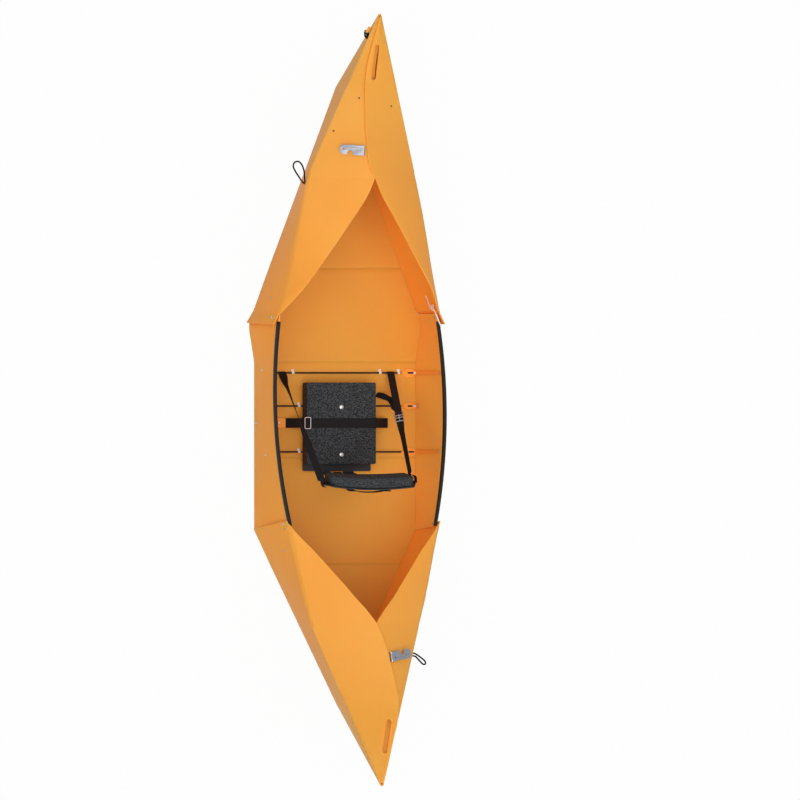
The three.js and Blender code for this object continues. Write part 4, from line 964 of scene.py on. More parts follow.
def clip_piece(node, x, rod_name):
    """A spring clip: bent sheet metal over the rod, with a foot that its screw holds down."""
    y, low, wall, width = ROD_Y[rod_name], FLOOR_TOP + 0.1, 1.2, 10.5
    inner = ROD_R + 0.25
    centre = inner + wall / 2
    line = [(-centre, low), (-centre, ROD_Z)] + arc(0, ROD_Z, centre, 180, 0, 12)
    line += [(centre, low + 1.6), (inner + 1.4, low + 0.7), (inner + 11, low + 0.6)]
    points = resample([(0, a, b) for a, b in line], 60)
    ups = [unit(np.cross(vec(1, 0, 0), ahead)) for ahead in np.gradient(points, axis=0)]
    obj = tube(node, points + vec(x, y, 0), 1, section=rounded_outline(width, wall, 0.4, 2), ups=ups)
    dress(obj, WIRE, "steel", "hull", node)
    screw_head(f"{node}_screw", (x, y + inner + 7, low + 1.1), (0, 0, 1), 3.6, 2.2, material=WIRE)


for clip_args in CLIPS:
    clip_piece(*clip_args)

BRACE_SHEET = 4.2
BRACE_RISE, BRACE_LOW_RISE = 250, 46
BRACE_FOOT, BRACE_INSET, BRACE_BEND = 270, 7.2, 14
BRACE_BOLT_BELOW, BRACE_HEAD, BRACE_SHANK_R = 9, (5.5, 3.0), 2.3
BRACE_HEAD_IN, BRACE_HEAD_OUT = 8.9, 0.4
PORT_BRACE_Y = -91


def brace_path(side, y, foot, rise, count):
    """A brace's middle line: along the floor from its foot, round the chine and up the wall to its rise."""
    at = y / HALF_LENGTH
    share_top = rise / gunwale(at)[2]

    def on_wall(share):
        point = wall_point(side, at, share)
        point[0] -= side * BRACE_INSET
        return point
    low = FLOOR_TOP + BRACE_SHEET / 2
    bend_share = share_top * min(0.5, BRACE_BEND / rise)
    bend_top = on_wall(bend_share)
    bend_low = vec(side * (HALF_CHINE - BRACE_INSET - BRACE_BEND), y, low)
    elbow = vec(side * (HALF_CHINE - BRACE_INSET - 2), y, low)
    bend = [(1 - t) ** 2 * bend_low + 2 * t * (1 - t) * elbow + t * t * bend_top
            for t in np.linspace(0, 1, 20)]
    up_wall = [on_wall(share) for share in np.linspace(bend_share, share_top, 20)[1:]]
    return resample([vec(side * foot, y, low)] + bend + up_wall, count)


# Widths by the distance from the foot
SPEAR = [(0, 4), (12, 9), (18, 20), (26, 32), (34, 37), (48, 36), (58, 24), (70, 19), (150, 17), (400, 13)]
LOW_BRACE = [(0, 12), (6, 22), (12, 25), (34, 24), (44, 19), (200, 17)]
PORT_BRACE = [(0, 20), (8, 34), (20, 42), (200, 40)]


def brace(node, side, y, foot, rise, widths_at):
    """A strip of hull sheet from the floor up the wall, with the bolt that holds it to the wall."""
    points = brace_path(side, y, foot, rise, 110)
    lengths = distances(points)
    verts, count, tip = [], len(points), 9
    for point, ahead, start in zip(points, np.gradient(points, axis=0), lengths):
        width, near = table(widths_at, start, 1), lengths[-1] - start
        if near < tip:
            width *= math.sqrt(max(0.02, 1 - (1 - near / tip) ** 2))
        up = unit(np.cross(unit(ahead), vec(0, 1, 0)))
        verts += [point + vec(0, x, 0) + up * z for x, z in rounded_outline(width, BRACE_SHEET, 1.95, 1)]
    n = len(verts) // count
    # The strip's sides and chamfers, which take the painted shade.
    shade_faces = [i * n + k for i in range(count - 1) for k in (0, 2, 3, 4, 6, 7)]
    obj = mesh_object(node, np.array(verts) * MM, ring_faces(count, n), 35, shade_faces)
    dress(obj, BRACE_MAT, "hull_sheet", "hull", node)
    obj.data.materials[1] = BRACE_SHADE_EDGE
    at = y / HALF_LENGTH
    seat = wall_point(side, at, (rise - BRACE_BOLT_BELOW) / gunwale(at)[2])
    inward = vec(-side, 0, 0.06)
    screw_head(f"{node}_inner_head", seat + inward * BRACE_HEAD_IN, inward, *BRACE_HEAD)
    screw_head(f"{node}_outer_head", seat - inward * BRACE_HEAD_OUT, -inward, *BRACE_HEAD, cross=False)
    shank = tube(f"{node}_bolt_shank", [seat + inward * 9.2, seat - inward * 1.0], BRACE_SHANK_R, 16)
    dress(shank, STEEL, "steel", "hull", f"{node}_bolt")


brace("front_brace", 1, ROD_Y["front"], BRACE_FOOT, BRACE_RISE, SPEAR)
brace("middle_brace", 1, ROD_Y["middle"], 288, BRACE_LOW_RISE, LOW_BRACE)
brace("rear_brace", 1, ROD_Y["rear"], BRACE_FOOT, BRACE_RISE, SPEAR)
brace("port_brace", -1, PORT_BRACE_Y, 205.8, BRACE_LOW_RISE, PORT_BRACE)


def rod_tongue(name, low, high):
    """The flat pointed end of a rod, lying on its brace."""
    y, half, point, thick, level = ROD_Y[name], 3.2, 3, 3.4, 7.9
    neck = high - point
    outline = [(low, y - half), (neck, y - half), (high, y), (neck, y + half), (low, y + half)]
    blade = extrude(f"{name}_rod_tongue", outline, thick, Matrix.Translation((0, 0, level * MM)))
    dress(bevel(blade, 0.5), ROD, "black_plastic", "hull")


for name, low, high in (("front", 304, 329), ("middle", 304, 325), ("rear", 308, 333)):
    rod_tongue(name, low, high)
    if name != "rear":
        screw_head(f"{name}_brace_washer", (HALF_CHINE - 11.5, ROD_Y[name], 17), (-1, 0, 0.5), 5.2, 2.4,
                   material=WIRE, slot="light_metal")
screw_head("port_brace_floor_screw", (-238, -89, 8), (0, 0, 1), 4.2, 2.0, material=LIGHT, slot="light_metal")

# Seat: board, pad, screws


def slab(name, xs, ys, zs, corner, edge):
    """A block between two places on each axis, its corners rounded, and its edges above and below."""
    (x0, x1), (y0, y1), (z0, z1) = xs, ys, zs
    middle = vec((x0 + x1) / 2, (y0 + y1) / 2, 0)
    levels = [(z0 + edge * (1 - cosine), edge * (1 - sine)) for cosine, sine in arc(0, 0, 1, 0, 90, 6)]
    levels += [(z1 - (z - z0), inset) for z, inset in reversed(levels)]
    verts = []
    for z, inset in levels:
        outline = rounded_outline(x1 - x0 - 2 * inset, y1 - y0 - 2 * inset, max(1, corner - inset), 5)
        verts += [middle + vec(x, y, z) for x, y in outline]
    return mesh_object(name, np.array(verts) * MM, ring_faces(len(levels), len(outline)), 30)


BOARD_HALF, BOARD_YS, BOARD_ZS = 143, (-281, 66), (13.6, 22.5)
PAD_HALF, PAD_YS, PAD_BASE, PAD_TOP = 146, (-253, 69), 22.9, 72.7
SEAT_SCREW_Y = dict(front=-27.6, rear=-216.0)
HINGE_Y, HINGE_Z = -290, 24
HINGE_R, HINGE_PIN_R, HINGE_PIN_HALF = 5.6, 2.4, 70
LUG_FROM, LUG_TO = 27, 69
LEAF_YS, LEAF_ZS = (-291, -272), (15, 21.8)
CUP = [(0.001, 0), (7.8, 0), (8.2, 0.5), (7.9, 1.2), (6.2, 1.7), (5.8, 0.9), (0.001, 0.9)]


def seat():
    board = slab("seat_board", (-BOARD_HALF, BOARD_HALF), BOARD_YS, BOARD_ZS, corner=6, edge=1.6)
    dress(board, BOARD, "board", "hull", "seat_board")
    for side in (-1, 1):
        xs = sorted((side * LUG_FROM, side * LUG_TO))
        ends = [(side * x, HINGE_Y, HINGE_Z) for x in (LUG_FROM, LUG_TO)]
        lug = tube(f"seat_hinge_{SIDE_NAME[side]}", ends, HINGE_R, 24)
        leaf = slab(f"seat_hinge_leaf_{SIDE_NAME[side]}", xs, LEAF_YS, LEAF_ZS, corner=2.5, edge=0.8)
        dress(join(f"seat_hinge_lug_{SIDE_NAME[side]}", [lug, leaf]), BOARD, "board", "hull")
    pad = slab("seat_pad", (-PAD_HALF, PAD_HALF), PAD_YS, (PAD_BASE, PAD_TOP), corner=6, edge=3)
    dress(pad, FOAM, "foam", "hull", "seat_pad")
    for place, y in SEAT_SCREW_Y.items():
        node = f"{place}_seat_screw"
        cup = lathe(f"{node}_cup", CUP, facing((0, 0, 1), (0, y, PAD_TOP + 0.1)))
        dress(cup, LIGHT, "light_metal", "hull", node)
        screw_head(f"{node}_head", (0, y, PAD_TOP + 0.7), (0, 0, 1), 5.6, 2.8, material=LIGHT,
                   slot="light_metal")
    ends = [(x, HINGE_Y, HINGE_Z) for x in (-HINGE_PIN_HALF, HINGE_PIN_HALF)]
    pin = tube("backrest_hinge_pin", ends, HINGE_PIN_R, 20)
    dress(pin, STEEL, "steel", "hull", "backrest_hinge_pin")


seat()

# Backrest, in its hinge's frame: X to starboard, Y forward, Z up the board

RECLINE = Matrix.Translation((0, HINGE_Y * MM, HINGE_Z * MM)) @ Matrix.Rotation(math.radians(9), 4, "X")
UPRIGHT = Matrix.Rotation(math.radians(90), 4, "X")
REAR_STRAP_AT = 355
REAR_BUCKLE_SIZE, REAR_BUCKLE_AT = (39, 28, 4.0), 75
LOCK_SIZE, LOCK_BARS_AT = (50, 38, 2.8), (-23.5, -6, 6, 23.5)
LOCK_BAR_HALF, LOCK_BAR_R, LOCK_BAR_UP = 14.5, 1.5, 3.6
LOCK_SHARE = 0.44
BACK_BEND = 14
BACK_HALF = 188
BACK_BOARD = 4.8
BARREL_HALF = 16.5
# The head pad: half its width, how far up the board it lies, its thickness, and where its front face is
HEAD_HALF, HEAD_RISE, HEAD_THICK, HEAD_FACE = 172, (294, 408), 41.5, 45


def bend_of(x):
    """How far forward the backrest's ends come."""
    return BACK_BEND * (min(abs(x), BACK_HALF) / BACK_HALF) ** 2


def bent(obj, depth):
    """Brings a piece's ends forward in the hinge's frame, fading out over its depth."""
    mesh = obj.data
    mesh.transform(RECLINE.inverted())
    bm = bmesh.new()
    bm.from_mesh(mesh)
    for x in range(-180, 181, 12):
        geometry = bm.verts[:] + bm.edges[:] + bm.faces[:]
        bmesh.ops.bisect_plane(bm, geom=geometry, plane_co=(x * MM, 0, 0), plane_no=(1, 0, 0))
    for vertex in bm.verts:
        fade = 1 if not depth else min(1, max(0, 1 - vertex.co.y / (depth * MM)))
        vertex.co.y += bend_of(vertex.co.x / MM) * MM * fade
    bm.to_mesh(mesh)
    bm.free()
    mesh.transform(RECLINE)
    return obj


def back_outline():
    """The board's outline: a narrow stem that widens into the head, half of it mirrored."""
    stem, head, low, high, inside, outside = 70, BACK_HALF, 290, 412, 36, 12
    half = [(stem, 12), (stem, low - inside)]
    half += arc(stem + inside, low - inside, inside, 180, 90, 9)[1:]
    half += [(head - 46, low), (head - 12, low + 30), (head, low + 62), (head - 2, high - outside - 30)]
    half += arc(head - 12 - outside, high - outside, outside, 0, 90, 6)
    return half + [(-x, z) for x, z in reversed(half)]


def back_board():
    stand = RECLINE @ UPRIGHT @ Matrix.Translation((0, 0, -BACK_BOARD / 2 * MM))
    plate = bent(extrude("backrest_plate", back_outline(), BACK_BOARD, stand), 0)
    barrel = tube("backrest_barrel", [(-BARREL_HALF, 0, 0), (BARREL_HALF, 0, 0)], HINGE_R, 24)
    barrel.data.transform(RECLINE)
    leaf = slab("backrest_leaf", (-16, 16), (-2.3, 2.3), (0, 14), corner=1, edge=0.3)
    leaf.data.transform(RECLINE)
    obj = join("backrest_board", [plate, barrel, leaf])
    dress(bevel(obj, 0.8), BOARD, "board", "backrest", "backrest_board")


back_board()


def back_pad():
    pad = slab("backrest_pad", (-HEAD_HALF, HEAD_HALF), HEAD_RISE, (0, HEAD_THICK), corner=20, edge=7)
    pad.data.transform(RECLINE @ Matrix.Translation((0, HEAD_FACE * MM, 0)) @ UPRIGHT)
    bent(pad, 95)
    dress(pad, FOAM, "foam", "backrest", "backrest_pad")


back_pad()


def in_back(point):
    """A point of the backrest's frame, given where it lies in the boat's."""
    return tuple(c / MM for c in (RECLINE @ Vector([v * MM for v in point])))


def band(name, points, ways, width, thickness=1.8, count=120, body=None, node=()):
    """A webbing strap with rounded edges, its width along the given directions, in millimetres."""
    line = spline(points, count)
    lengths, keys = distances(line), distances(points)
    keys = keys / keys[-1] * lengths[-1]
    ways = np.array(ways, float)
    spread = np.interp(lengths, keys, np.broadcast_to(np.array(width, float), (len(points),)))
    cells, thin = 8, 0.35
    profile = [(k / cells - 0.5, 0.5 * (1 if 0 < k < cells else thin)) for k in range(cells + 1)]
    profile += [(x, -z) for x, z in reversed(profile)]
    verts = []
    for i, (point, ahead) in enumerate(zip(line, np.gradient(line, axis=0))):
        out = vec(*(np.interp(lengths[i], keys, ways[:, k]) for k in range(3)))
        forward = unit(ahead)
        across = unit(out - forward * float(out @ forward))
        up = np.cross(across, forward)
        verts += [point + across * x * spread[i] + up * z * thickness for x, z in profile]
    obj = mesh_object(name, np.array(verts) * MM, ring_faces(len(line), len(profile)), 50)
    return dress(obj, WEB, "webbing", body, *node)


STRAP_OUT, STRAP_BACK = 189.8, 4.0
STRAP_WIDTH = 30


def rear_strap():
    """Across the backrest's rear face, slack in its middle, its ends round the board's."""
    half = [(STRAP_OUT, 12), (STRAP_OUT, 3)]
    turns = np.linspace(0.3, math.pi / 2, 5)
    half += [(STRAP_OUT - 5 * (1 - math.cos(a)), 2 - 6 * math.sin(a)) for a in turns]
    half += [(150, -STRAP_BACK), (112, -6), (75, -11), (38, -17)]
    left = [(-x, y + bend_of(x), REAR_STRAP_AT) for x, y in half]
    right = [(-x, y, z) for x, y, z in reversed(left)]
    points = [in_back(p) for p in left + [(0, -18.5, REAR_STRAP_AT)] + right]
    up = RECLINE.to_3x3() @ Vector((0, 0, 1))
    name = "backrest_rear_strap"
    band(name, points, [up] * len(points), STRAP_WIDTH, count=160, body="backrest", node=(name,))


rear_strap()


def frame_buckle(name, matrix, width, length, bar):
    """A rounded frame with a bar across its middle."""
    window = rounded_outline(width - 2 * bar, (length - 3 * bar) / 2, 1.4, 3)
    holes = [[(x, y + shift) for x, y in window] for shift in (-length / 4, length / 4)]
    return bevel(extrude(name, rounded_outline(width, length, 4, 5), 3.0, matrix, holes), 0.6)


def rear_buckle(side):
    x, name = REAR_BUCKLE_AT, f"rear_{SIDE_NAME[side]}_buckle"
    place = Matrix.Translation((side * x * MM, (bend_of(x) - 12.1) * MM, REAR_STRAP_AT * MM))
    stand = RECLINE @ place @ UPRIGHT @ Matrix.Rotation(math.radians(90), 4, "Z")
    dress(frame_buckle(name, stand, *REAR_BUCKLE_SIZE), BLACK, "black_plastic", "backrest", name)


for side in (-1, 1):
    rear_buckle(side)


# Straps

STRAP_FOOT = 0.67 * HALF_CHINE
STRAP_WRAP = ROD_R + 1.3
# Degrees from flat, by the share of the way from the rod to the backrest
STRAP_TWIST = {1: [(0, 0), (0.32, 6), (0.5, 52), (0.6, 80), (0.8, 86), (1, 88)],
               -1: [(0, 0), (0.07, 60), (0.14, 92), (0.44, 114), (0.56, 150), (0.7, 182), (1, 196)]}
# How each strap's end goes round the backrest's, in the backrest's frame
STRAP_TUCK = {1: [(181, 50), (190, 46), (195, 36), (196, 20)],
              -1: [(-201, 22), (-197, 10), (-192, 4), (-185, 1)]}


def round_rod(side, angle):
    """A point of a side strap where it lies round the front rod, its angle in radians."""
    y = ROD_Y["front"] + STRAP_WRAP * math.cos(angle)
    return vec(side * STRAP_FOOT, y, ROD_Z + STRAP_WRAP * math.sin(angle))


def strap_ends(side):
    out, forward = (172, 50) if side > 0 else (STRAP_OUT + 14, 31.5)
    return round_rod(side, 1.0), vec(*in_back((side * out, forward, REAR_STRAP_AT)))


def strap_way(side, share):
    angle = math.radians(table(STRAP_TWIST[side], share, 1))
    return vec(math.cos(angle), 0, math.sin(angle))


def side_strap(side):
    """From round the front rod up to the backrest's end, turning from flat to upright."""
    foot, top = strap_ends(side)
    points = [round_rod(side, angle) for angle in (-1.5, -1.0, -0.4, 0.2, 0.7)]
    shares = np.linspace(0.03, 1, 20)
    ways = [strap_way(side, 0)] * len(points) + [strap_way(side, share) for share in shares]
    points += [lerp(foot, top, share) for share in shares]
    points += [vec(*in_back((x, y, REAR_STRAP_AT))) for x, y in STRAP_TUCK[side]]
    ways += [vec(0, 0, side)] * len(STRAP_TUCK[side])
    name = f"{SIDE_NAME[side]}_backrest_strap"
    obj = band(name, points, ways, STRAP_WIDTH, count=220, node=(name,))
    tuple(lerp(foot, top, 0.3) * MM)
    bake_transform(obj)


for side in (-1, 1):
    side_strap(side)


def lock_frame():
    """The ladder lock's place on the starboard strap: across it, along it, off it, and the point."""
    foot, top = strap_ends(1)
    ahead, across = unit(top - foot), strap_way(1, LOCK_SHARE)
    across = unit(across - ahead * float(across @ ahead))
    up = np.cross(ahead, across)
    return across, ahead, up, lerp(foot, top, LOCK_SHARE) + up * 2.7


def ladder_lock():
    """A rounded frame with four wire bars across it, over the strap."""
    across, ahead, up, place = lock_frame()
    base = frame_buckle("ladder_lock_frame", frame_matrix(ahead, across, up, place), *LOCK_SIZE)
    bars = []
    for k, at in enumerate(LOCK_BARS_AT):
        ends = (-LOCK_BAR_HALF, LOCK_BAR_HALF)
        line = [place + across * x + ahead * at + up * LOCK_BAR_UP for x in ends]
        bars.append(tube(f"lock_bar_{k}", line, LOCK_BAR_R, 14))
    obj = join("ladder_lock_buckle", [apply_modifiers(base)] + bars)
    dress(obj, LATCH, "light_metal", "hull", "ladder_lock_buckle")


ladder_lock()

STRAP_Y = -91


def seat_strap():
    """From the port brace up over the pad and down to the floor on its starboard side."""
    half = PAD_HALF
    edge = [(-half - 12, 57.5), (-half - 5.0, 69.5), (-half + 0.5, 73.4), (-half + 9, 73.9)]
    low = [(-212.7, 9.0), (-203, 9.0), (-197, 13.8), (-184, 28.5)]
    middle = [(-100, 73.7), (-50, 73.3), (0, 73.2), (50, 73.3), (100, 73.7)]
    right = [(-x, z) for x, z in reversed(edge)] + [(184, 30), (204, 13.8), (210, 9.0), (219.5, 9.0)]
    points = [(x, STRAP_Y, z + 0.4) for x, z in low + edge + middle + right]
    band("seat_strap", points, [(0, 1, 0)] * len(points), 38, count=220, body="hull", node=("seat_strap",))


seat_strap()


def seat_ring():
    """A wire loop, its window round the strap, over the pad's port edge."""
    width, length, middle, level, tilt = 24.4, 44.4, -144, 76.2, 0.02
    outline = rounded_outline(width, length, 3.4, 6)
    line = [vec(x + middle, STRAP_Y + y, level + tilt * abs(x)) for x, y in outline]
    line = resample(line + [line[0]], 90)[:-1]
    obj = tube("seat_strap_ring", line, 1.25, 14, closed=True)
    dress(obj, WIRE, "light_metal", "hull", "seat_strap_ring")


seat_ring()

# Deck latches

LATCH_AT = dict(bow=0.646, stern=0.6645)
LATCH_TURN = dict(bow=-4, stern=8)
LEVER_LENGTH = dict(bow=97.5, stern=111)
NOTCH_AT = dict(bow=53.9, stern=60)
PIN_X, PIN_Z = -9, 7.3
PIN_HALF, PIN_R = 20, 1.6
FOOT_SIZE, FOOT_THICK, FOOT_LIFT = (26, 40), 2.6, 0.6
LUG_AT, LUG_THICK, LUG_R, LUG_BASE = 16, 8, 4, 2.8
LATCH_SCREW_AT, LATCH_SCREW_HEAD = (6, 11, 3.2), (3.4, 1.6)
LEVER_THICK, LEVER_LIFT, LEVER_HOLE_R = 2.3, 8.9, 3.6
KNUCKLE_HALF, KNUCKLE_R = 11.6, 3.9


def latch_frame(end):
    """The latch's stand on the lower flap: down the deck, along it, off it, and the point."""
    at, side, step = LATCH_AT[end["body"]], -end["upper"], 0.01
    width = np.linalg.norm(rim(end, side, at) - shoulder(end, at) * vec(side, 1, 1))
    share = 1 - OVERLAP / width

    def pick(a, s):
        point = deck(end, side, a, s)
        point[1] *= end["way"]
        return point
    down = unit(pick(at, share - step) - pick(at, share + step))
    fore = (pick(at + step, share) - pick(at - step, share)) * end["way"]
    normal = unit(np.cross(down, fore))
    normal = normal if normal[2] > 0 else -normal
    across = unit(np.cross(normal, down))
    return down, across, normal, pick(at, share)


def latch(end):
    """Base, screws and pin on the lower flap, and the lever."""
    name = end["body"]
    stand = frame_matrix(*latch_frame(end)) @ Matrix.Rotation(math.radians(LATCH_TURN[name]), 4, "Z")
    lower = f"{name}_lower_flap"
    sole = stand @ Matrix.Translation((0, 0, FOOT_LIFT * MM))
    foot = extrude(f"{name}_foot", rounded_outline(*FOOT_SIZE, 3, 4), FOOT_THICK, sole)
    lugs = []
    turn = stand @ Matrix.Rotation(math.radians(90), 4, "X")
    outline = [(PIN_X - LUG_R, LUG_BASE), (PIN_X + LUG_R, LUG_BASE)] + arc(PIN_X, PIN_Z, LUG_R, 0, 180, 12)
    for k, y in enumerate((-LUG_AT, LUG_AT)):
        place = turn @ Matrix.Translation((0, 0, (-y - LUG_THICK / 2) * MM))
        lugs.append(extrude(f"{name}_lug_{k}", outline, LUG_THICK, place))
    base = join(f"{name}_latch_base", [foot] + lugs)
    dress(bevel(base, 0.4), STEEL, "steel", lower, f"{name}_latch_base")
    x, y, z = LATCH_SCREW_AT
    for k, way in enumerate((-1, 1)):
        place = stand @ Vector((x * MM, way * y * MM, z * MM))
        normal = stand.to_3x3() @ Vector((0, 0, 1))
        screw_head(f"{name}_latch_screw_{k}", place / MM, normal, *LATCH_SCREW_HEAD, lower)
    pin = tube(f"{name}_latch_pin", [(PIN_X, y, PIN_Z) for y in (-PIN_HALF, PIN_HALF)], PIN_R, 16)
    pin.data.transform(stand)
    dress(pin, STEEL, "steel", lower, f"{name}_latch_pin")
    lever(name, stand)


def lever(name, stand):
    """A plate with a round end, a hooked notch and two holes, a pressed rib, and the knuckle on the pin."""
    w, start, notch, length, at = 19.6, -1.8, 10.5, LEVER_LENGTH[name], NOTCH_AT[name]
    outline = [(start, -w + 1), (start + 1, -w)]
    outline += [(at - notch - 1.5, -w), (at - notch, -w + 1.5)]
    outline += arc(at, -w + 6, notch, 175, 5, 17, 1.15)
    outline += [(at + notch, -w + 3), (at + notch - 3.4, -w + 1.6), (at + notch - 2.2, -w + 0.2),
                (at + notch + 3, -w)]
    outline += arc(length - w, 0, w, -80, 80, 20)
    outline += [(start + 1, w), (start, w - 1)]
    outline = [(x, -y) for x, y in reversed(outline)]
    move = stand @ Matrix.Translation((PIN_X * MM, 0, LEVER_LIFT * MM))
    holes = [arc(x, y, LEVER_HOLE_R, 0, 360, 24)[:-1] for x, y in ((17, -6), (80, -3))]
    plate = extrude(f"{name}_plate", outline, LEVER_THICK, move, holes)
    plate = apply_modifiers(bevel(plate, 0.5))
    ends = [(PIN_X, y, PIN_Z) for y in (-KNUCKLE_HALF, KNUCKLE_HALF)]
    knuckle = tube(f"{name}_knuckle", ends, KNUCKLE_R, 20)
    knuckle.data.transform(stand)
    rib = [(x, -9.2, 11.35) for x in np.linspace(12, 66, 24)]
    radii = [1.6 * math.sin(math.pi * min(1, max(0.08, k / 23))) ** 0.4 + 0.2 for k in range(24)]
    swage = tube(f"{name}_swage", rib, radii, 12)
    swage.data.transform(stand)
    obj = join(f"{name}_latch_lever", [plate, knuckle, swage])
    dress(obj, LATCH, "steel", f"{name}_latch", f"{name}_latch_lever")


for end in (BOW, STERN):
    latch(end)

# Bolts through the laps of the ends over the middle walls


def side_point(end, side, at, height):
    """The point of an end's side at a height."""
    line = np.array(wall_line(end, side, at, 0))
    x = float(np.interp(height, line[:, 2], np.abs(line[:, 0])))
    return vec(side * x, at * HALF_LENGTH * end["way"], height)


LAP_HEAD, LAP_SHANK_R = (6.2, 2.8), 2.4


def lap_bolt(end, side, at, share):
    name = f'{end["body"]}_{SIDE_NAME[side]}_lap_bolt'
    along, height = at * end["way"], share * GUNWALE
    seat = side_point(end, side, at, height)
    inner = wall_point(side, along, height / gunwale(along)[2]) - vec(side * 4.4, 0, 0)
    shank = tube(f"{name}_shank", [seat - vec(side * 2, 0, 0), inner], LAP_SHANK_R, 16)
    dress(shank, STEEL, "steel", "hull", name)
    screw_head(f"{name}_outer", seat, (side, 0, 0.07), *LAP_HEAD, cross=False)
    screw_head(f"{name}_inner", inner, (-side, 0, -0.07), *LAP_HEAD)


for side in (-1, 1):
    lap_bolt(BOW, side, 0.2135, 0.83)
for side in (-1, 1):
    lap_bolt(STERN, side, 0.3215, 1.01)


# Small rivets seen along the walls and on the decks

RIVET_R, RAIL_RIVET_R, RIVET_HEIGHT = 5.0, 4.2, 2.4
DECK_RIVET, TAB_SCREW = (3.6, 1.7), (4.6, 2.4)
TAB_THICK, TAB_CORNER = 3.6, 6


def wall_rivet(name, side, y, height, radius=RIVET_R, outward=True):
    at = y / HALF_LENGTH
    point = wall_point(side, at, height / gunwale(at)[2])
    if not outward:
        point = point - vec(side * SHEET, 0, 0)
    normal = (side if outward else -side, 0, 0.08)
    screw_head(name, point, normal, radius, RIVET_HEIGHT, cross=False)


wall_rivet("port_wall_rivet_fore", -1, 118, 112)
wall_rivet("port_wall_rivet_aft", -1, -217, 150)
wall_rivet("starboard_rail_rivet_fore", 1, 281, 238, RAIL_RIVET_R, False)
wall_rivet("starboard_rail_rivet_aft", 1, -486, 262, RAIL_RIVET_R, False)


def deck_rivet(name, end, side, y, x):
    """A small dark rivet on the deck, found by its place across the boat."""
    at = abs(y) / HALF_LENGTH
    shares = np.linspace(0.02, 0.98, 200)
    points = [deck(end, side, at, s) for s in shares]
    k = int(np.argmin([abs(p[0] - x) for p in points]))
    here, share = points[k], shares[k]
    if side == end["upper"]:
        here[2] += lap_rise(end, at, share)
    along = (deck(end, side, at + 0.004, share) - deck(end, side, at - 0.004, share)) * vec(1, end["way"], 1)
    across = deck(end, side, at, min(0.999, share + 0.02)) - deck(end, side, at, share - 0.02)
    normal = unit(np.cross(along, across))
    normal = normal if normal[2] > 0 else -normal
    here[1] *= end["way"]
    body = f'{end["body"]}_{"upper" if side == end["upper"] else "lower"}_flap'
    screw_head(name, here - normal * 0.2, normal, *DECK_RIVET, body, BLACK, "black_plastic", cross=False)


deck_rivet("bow_port_dot_fore", BOW, -1, 1193, -55)
deck_rivet("bow_port_dot_aft", BOW, -1, 1063, -145)
deck_rivet("bow_starboard_dot", BOW, 1, 1161, 88)


def tab(name, place, normal, width, length):
    """A small square of hull sheet over a rail's end."""
    stand = facing(normal, place, (0, 1, 0.2))
    plate = extrude(name, rounded_outline(width, length, TAB_CORNER, 4), TAB_THICK, stand)
    dress(bevel(plate, 0.9, tone=1), SHEET_MAT, "hull_sheet", "hull")


def tab_screw(name, end, y, height, lift=(0, 0, 0)):
    place = side_point(end, -1, y / HALF_LENGTH, height) + vec(*lift)
    screw_head(name, place, (-1, 0, 0.25), *TAB_SCREW, material=LATCH, cross=False)


tab("stern_wing_tab", side_point(STERN, -1, 506 / HALF_LENGTH, 290), (-1, 0, 0.25), 36, 34)
tab("bow_wing_tab", vec(-347, 303, 214), (-1, 0, 0.08), 34, 30)
tab_screw("bow_tab_screw", BOW, 403, 155)
tab_screw("stern_tab_screw_fore", STERN, 511, 290, (-3.4, 0, 0.8))
tab_screw("stern_tab_screw_aft", STERN, 595, 233)


def tip_fitting():
    """An eyelet on the port side near the bow's tip with a knotted cord end and a toggle."""
    at, height = 0.945, 438
    place = side_point(BOW, -1, at, height)
    normal = unit(vec(-1, 0.25, 0.1))
    ring = [(1.6, 0.0), (5.2, 0.2), (5.4, 0.9), (3.4, 1.6), (1.6, 1.0)]
    eye = lathe("bow_eyelet", ring, facing(normal, place))
    dress(eye, STEEL, "steel", "hull")
    loops = [(1.5, 0, 0), (5, 9, 4), (10, 16, -4), (13, 6, -12), (9, -8, -8), (6, -17, 5), (10, -10, 15),
             (14, 4, 9), (15, 2, -4), (12, -10, -10)]
    knot = [place + normal * out + vec(0, along, up) for out, along, up in loops]
    dress(tube("bow_cord_knot", spline(knot, 90), 3.2, 12), CORD, "webbing", "hull")
    toggle = lathe("bow_toggle", [(0.001, 0), (5.0, 0.2), (6.0, 2), (6.0, 22), (5.0, 24), (0.001, 24.3)],
                   facing(vec(0.5, 1, 0.4), place + normal * 8 + vec(-2, 10, 4)))
    dress(toggle, SHEET_MAT, "hull_sheet", "hull")


tip_fitting()

# Wire hook by the forward end of the starboard rail
HOOK = [(316, 411, 178), (318, 396, 190), (320, 378, 202), (322, 364, 212), (323, 360, 226), (323, 366, 240),
        (322, 359, 249), (325.2, 345, 258.8), (332, 325, 264.6), (340, 303, 267.8), (347, 288, 270)]


def hook():
    """A bent wire with a closed eye at its foot."""
    wire = tube("hook_wire", spline(HOOK, 110), 2.3, 14)
    eye_middle = vec(*HOOK[4]) + vec(0, 4, 6)
    turns = ((13, 9), (-8, 12), (-9, -4), (4, -11), (12, -2), (13, 9))
    eye = [eye_middle + vec(0, y, z) * 0.9 for y, z in turns]
    ring = tube("hook_eye", spline(eye, 60)[:-1], 2.0, 14, closed=True)
    dress(join("starboard_hook", [wire, ring]), WIRE, "light_metal", "hull", "starboard_hook")


hook()


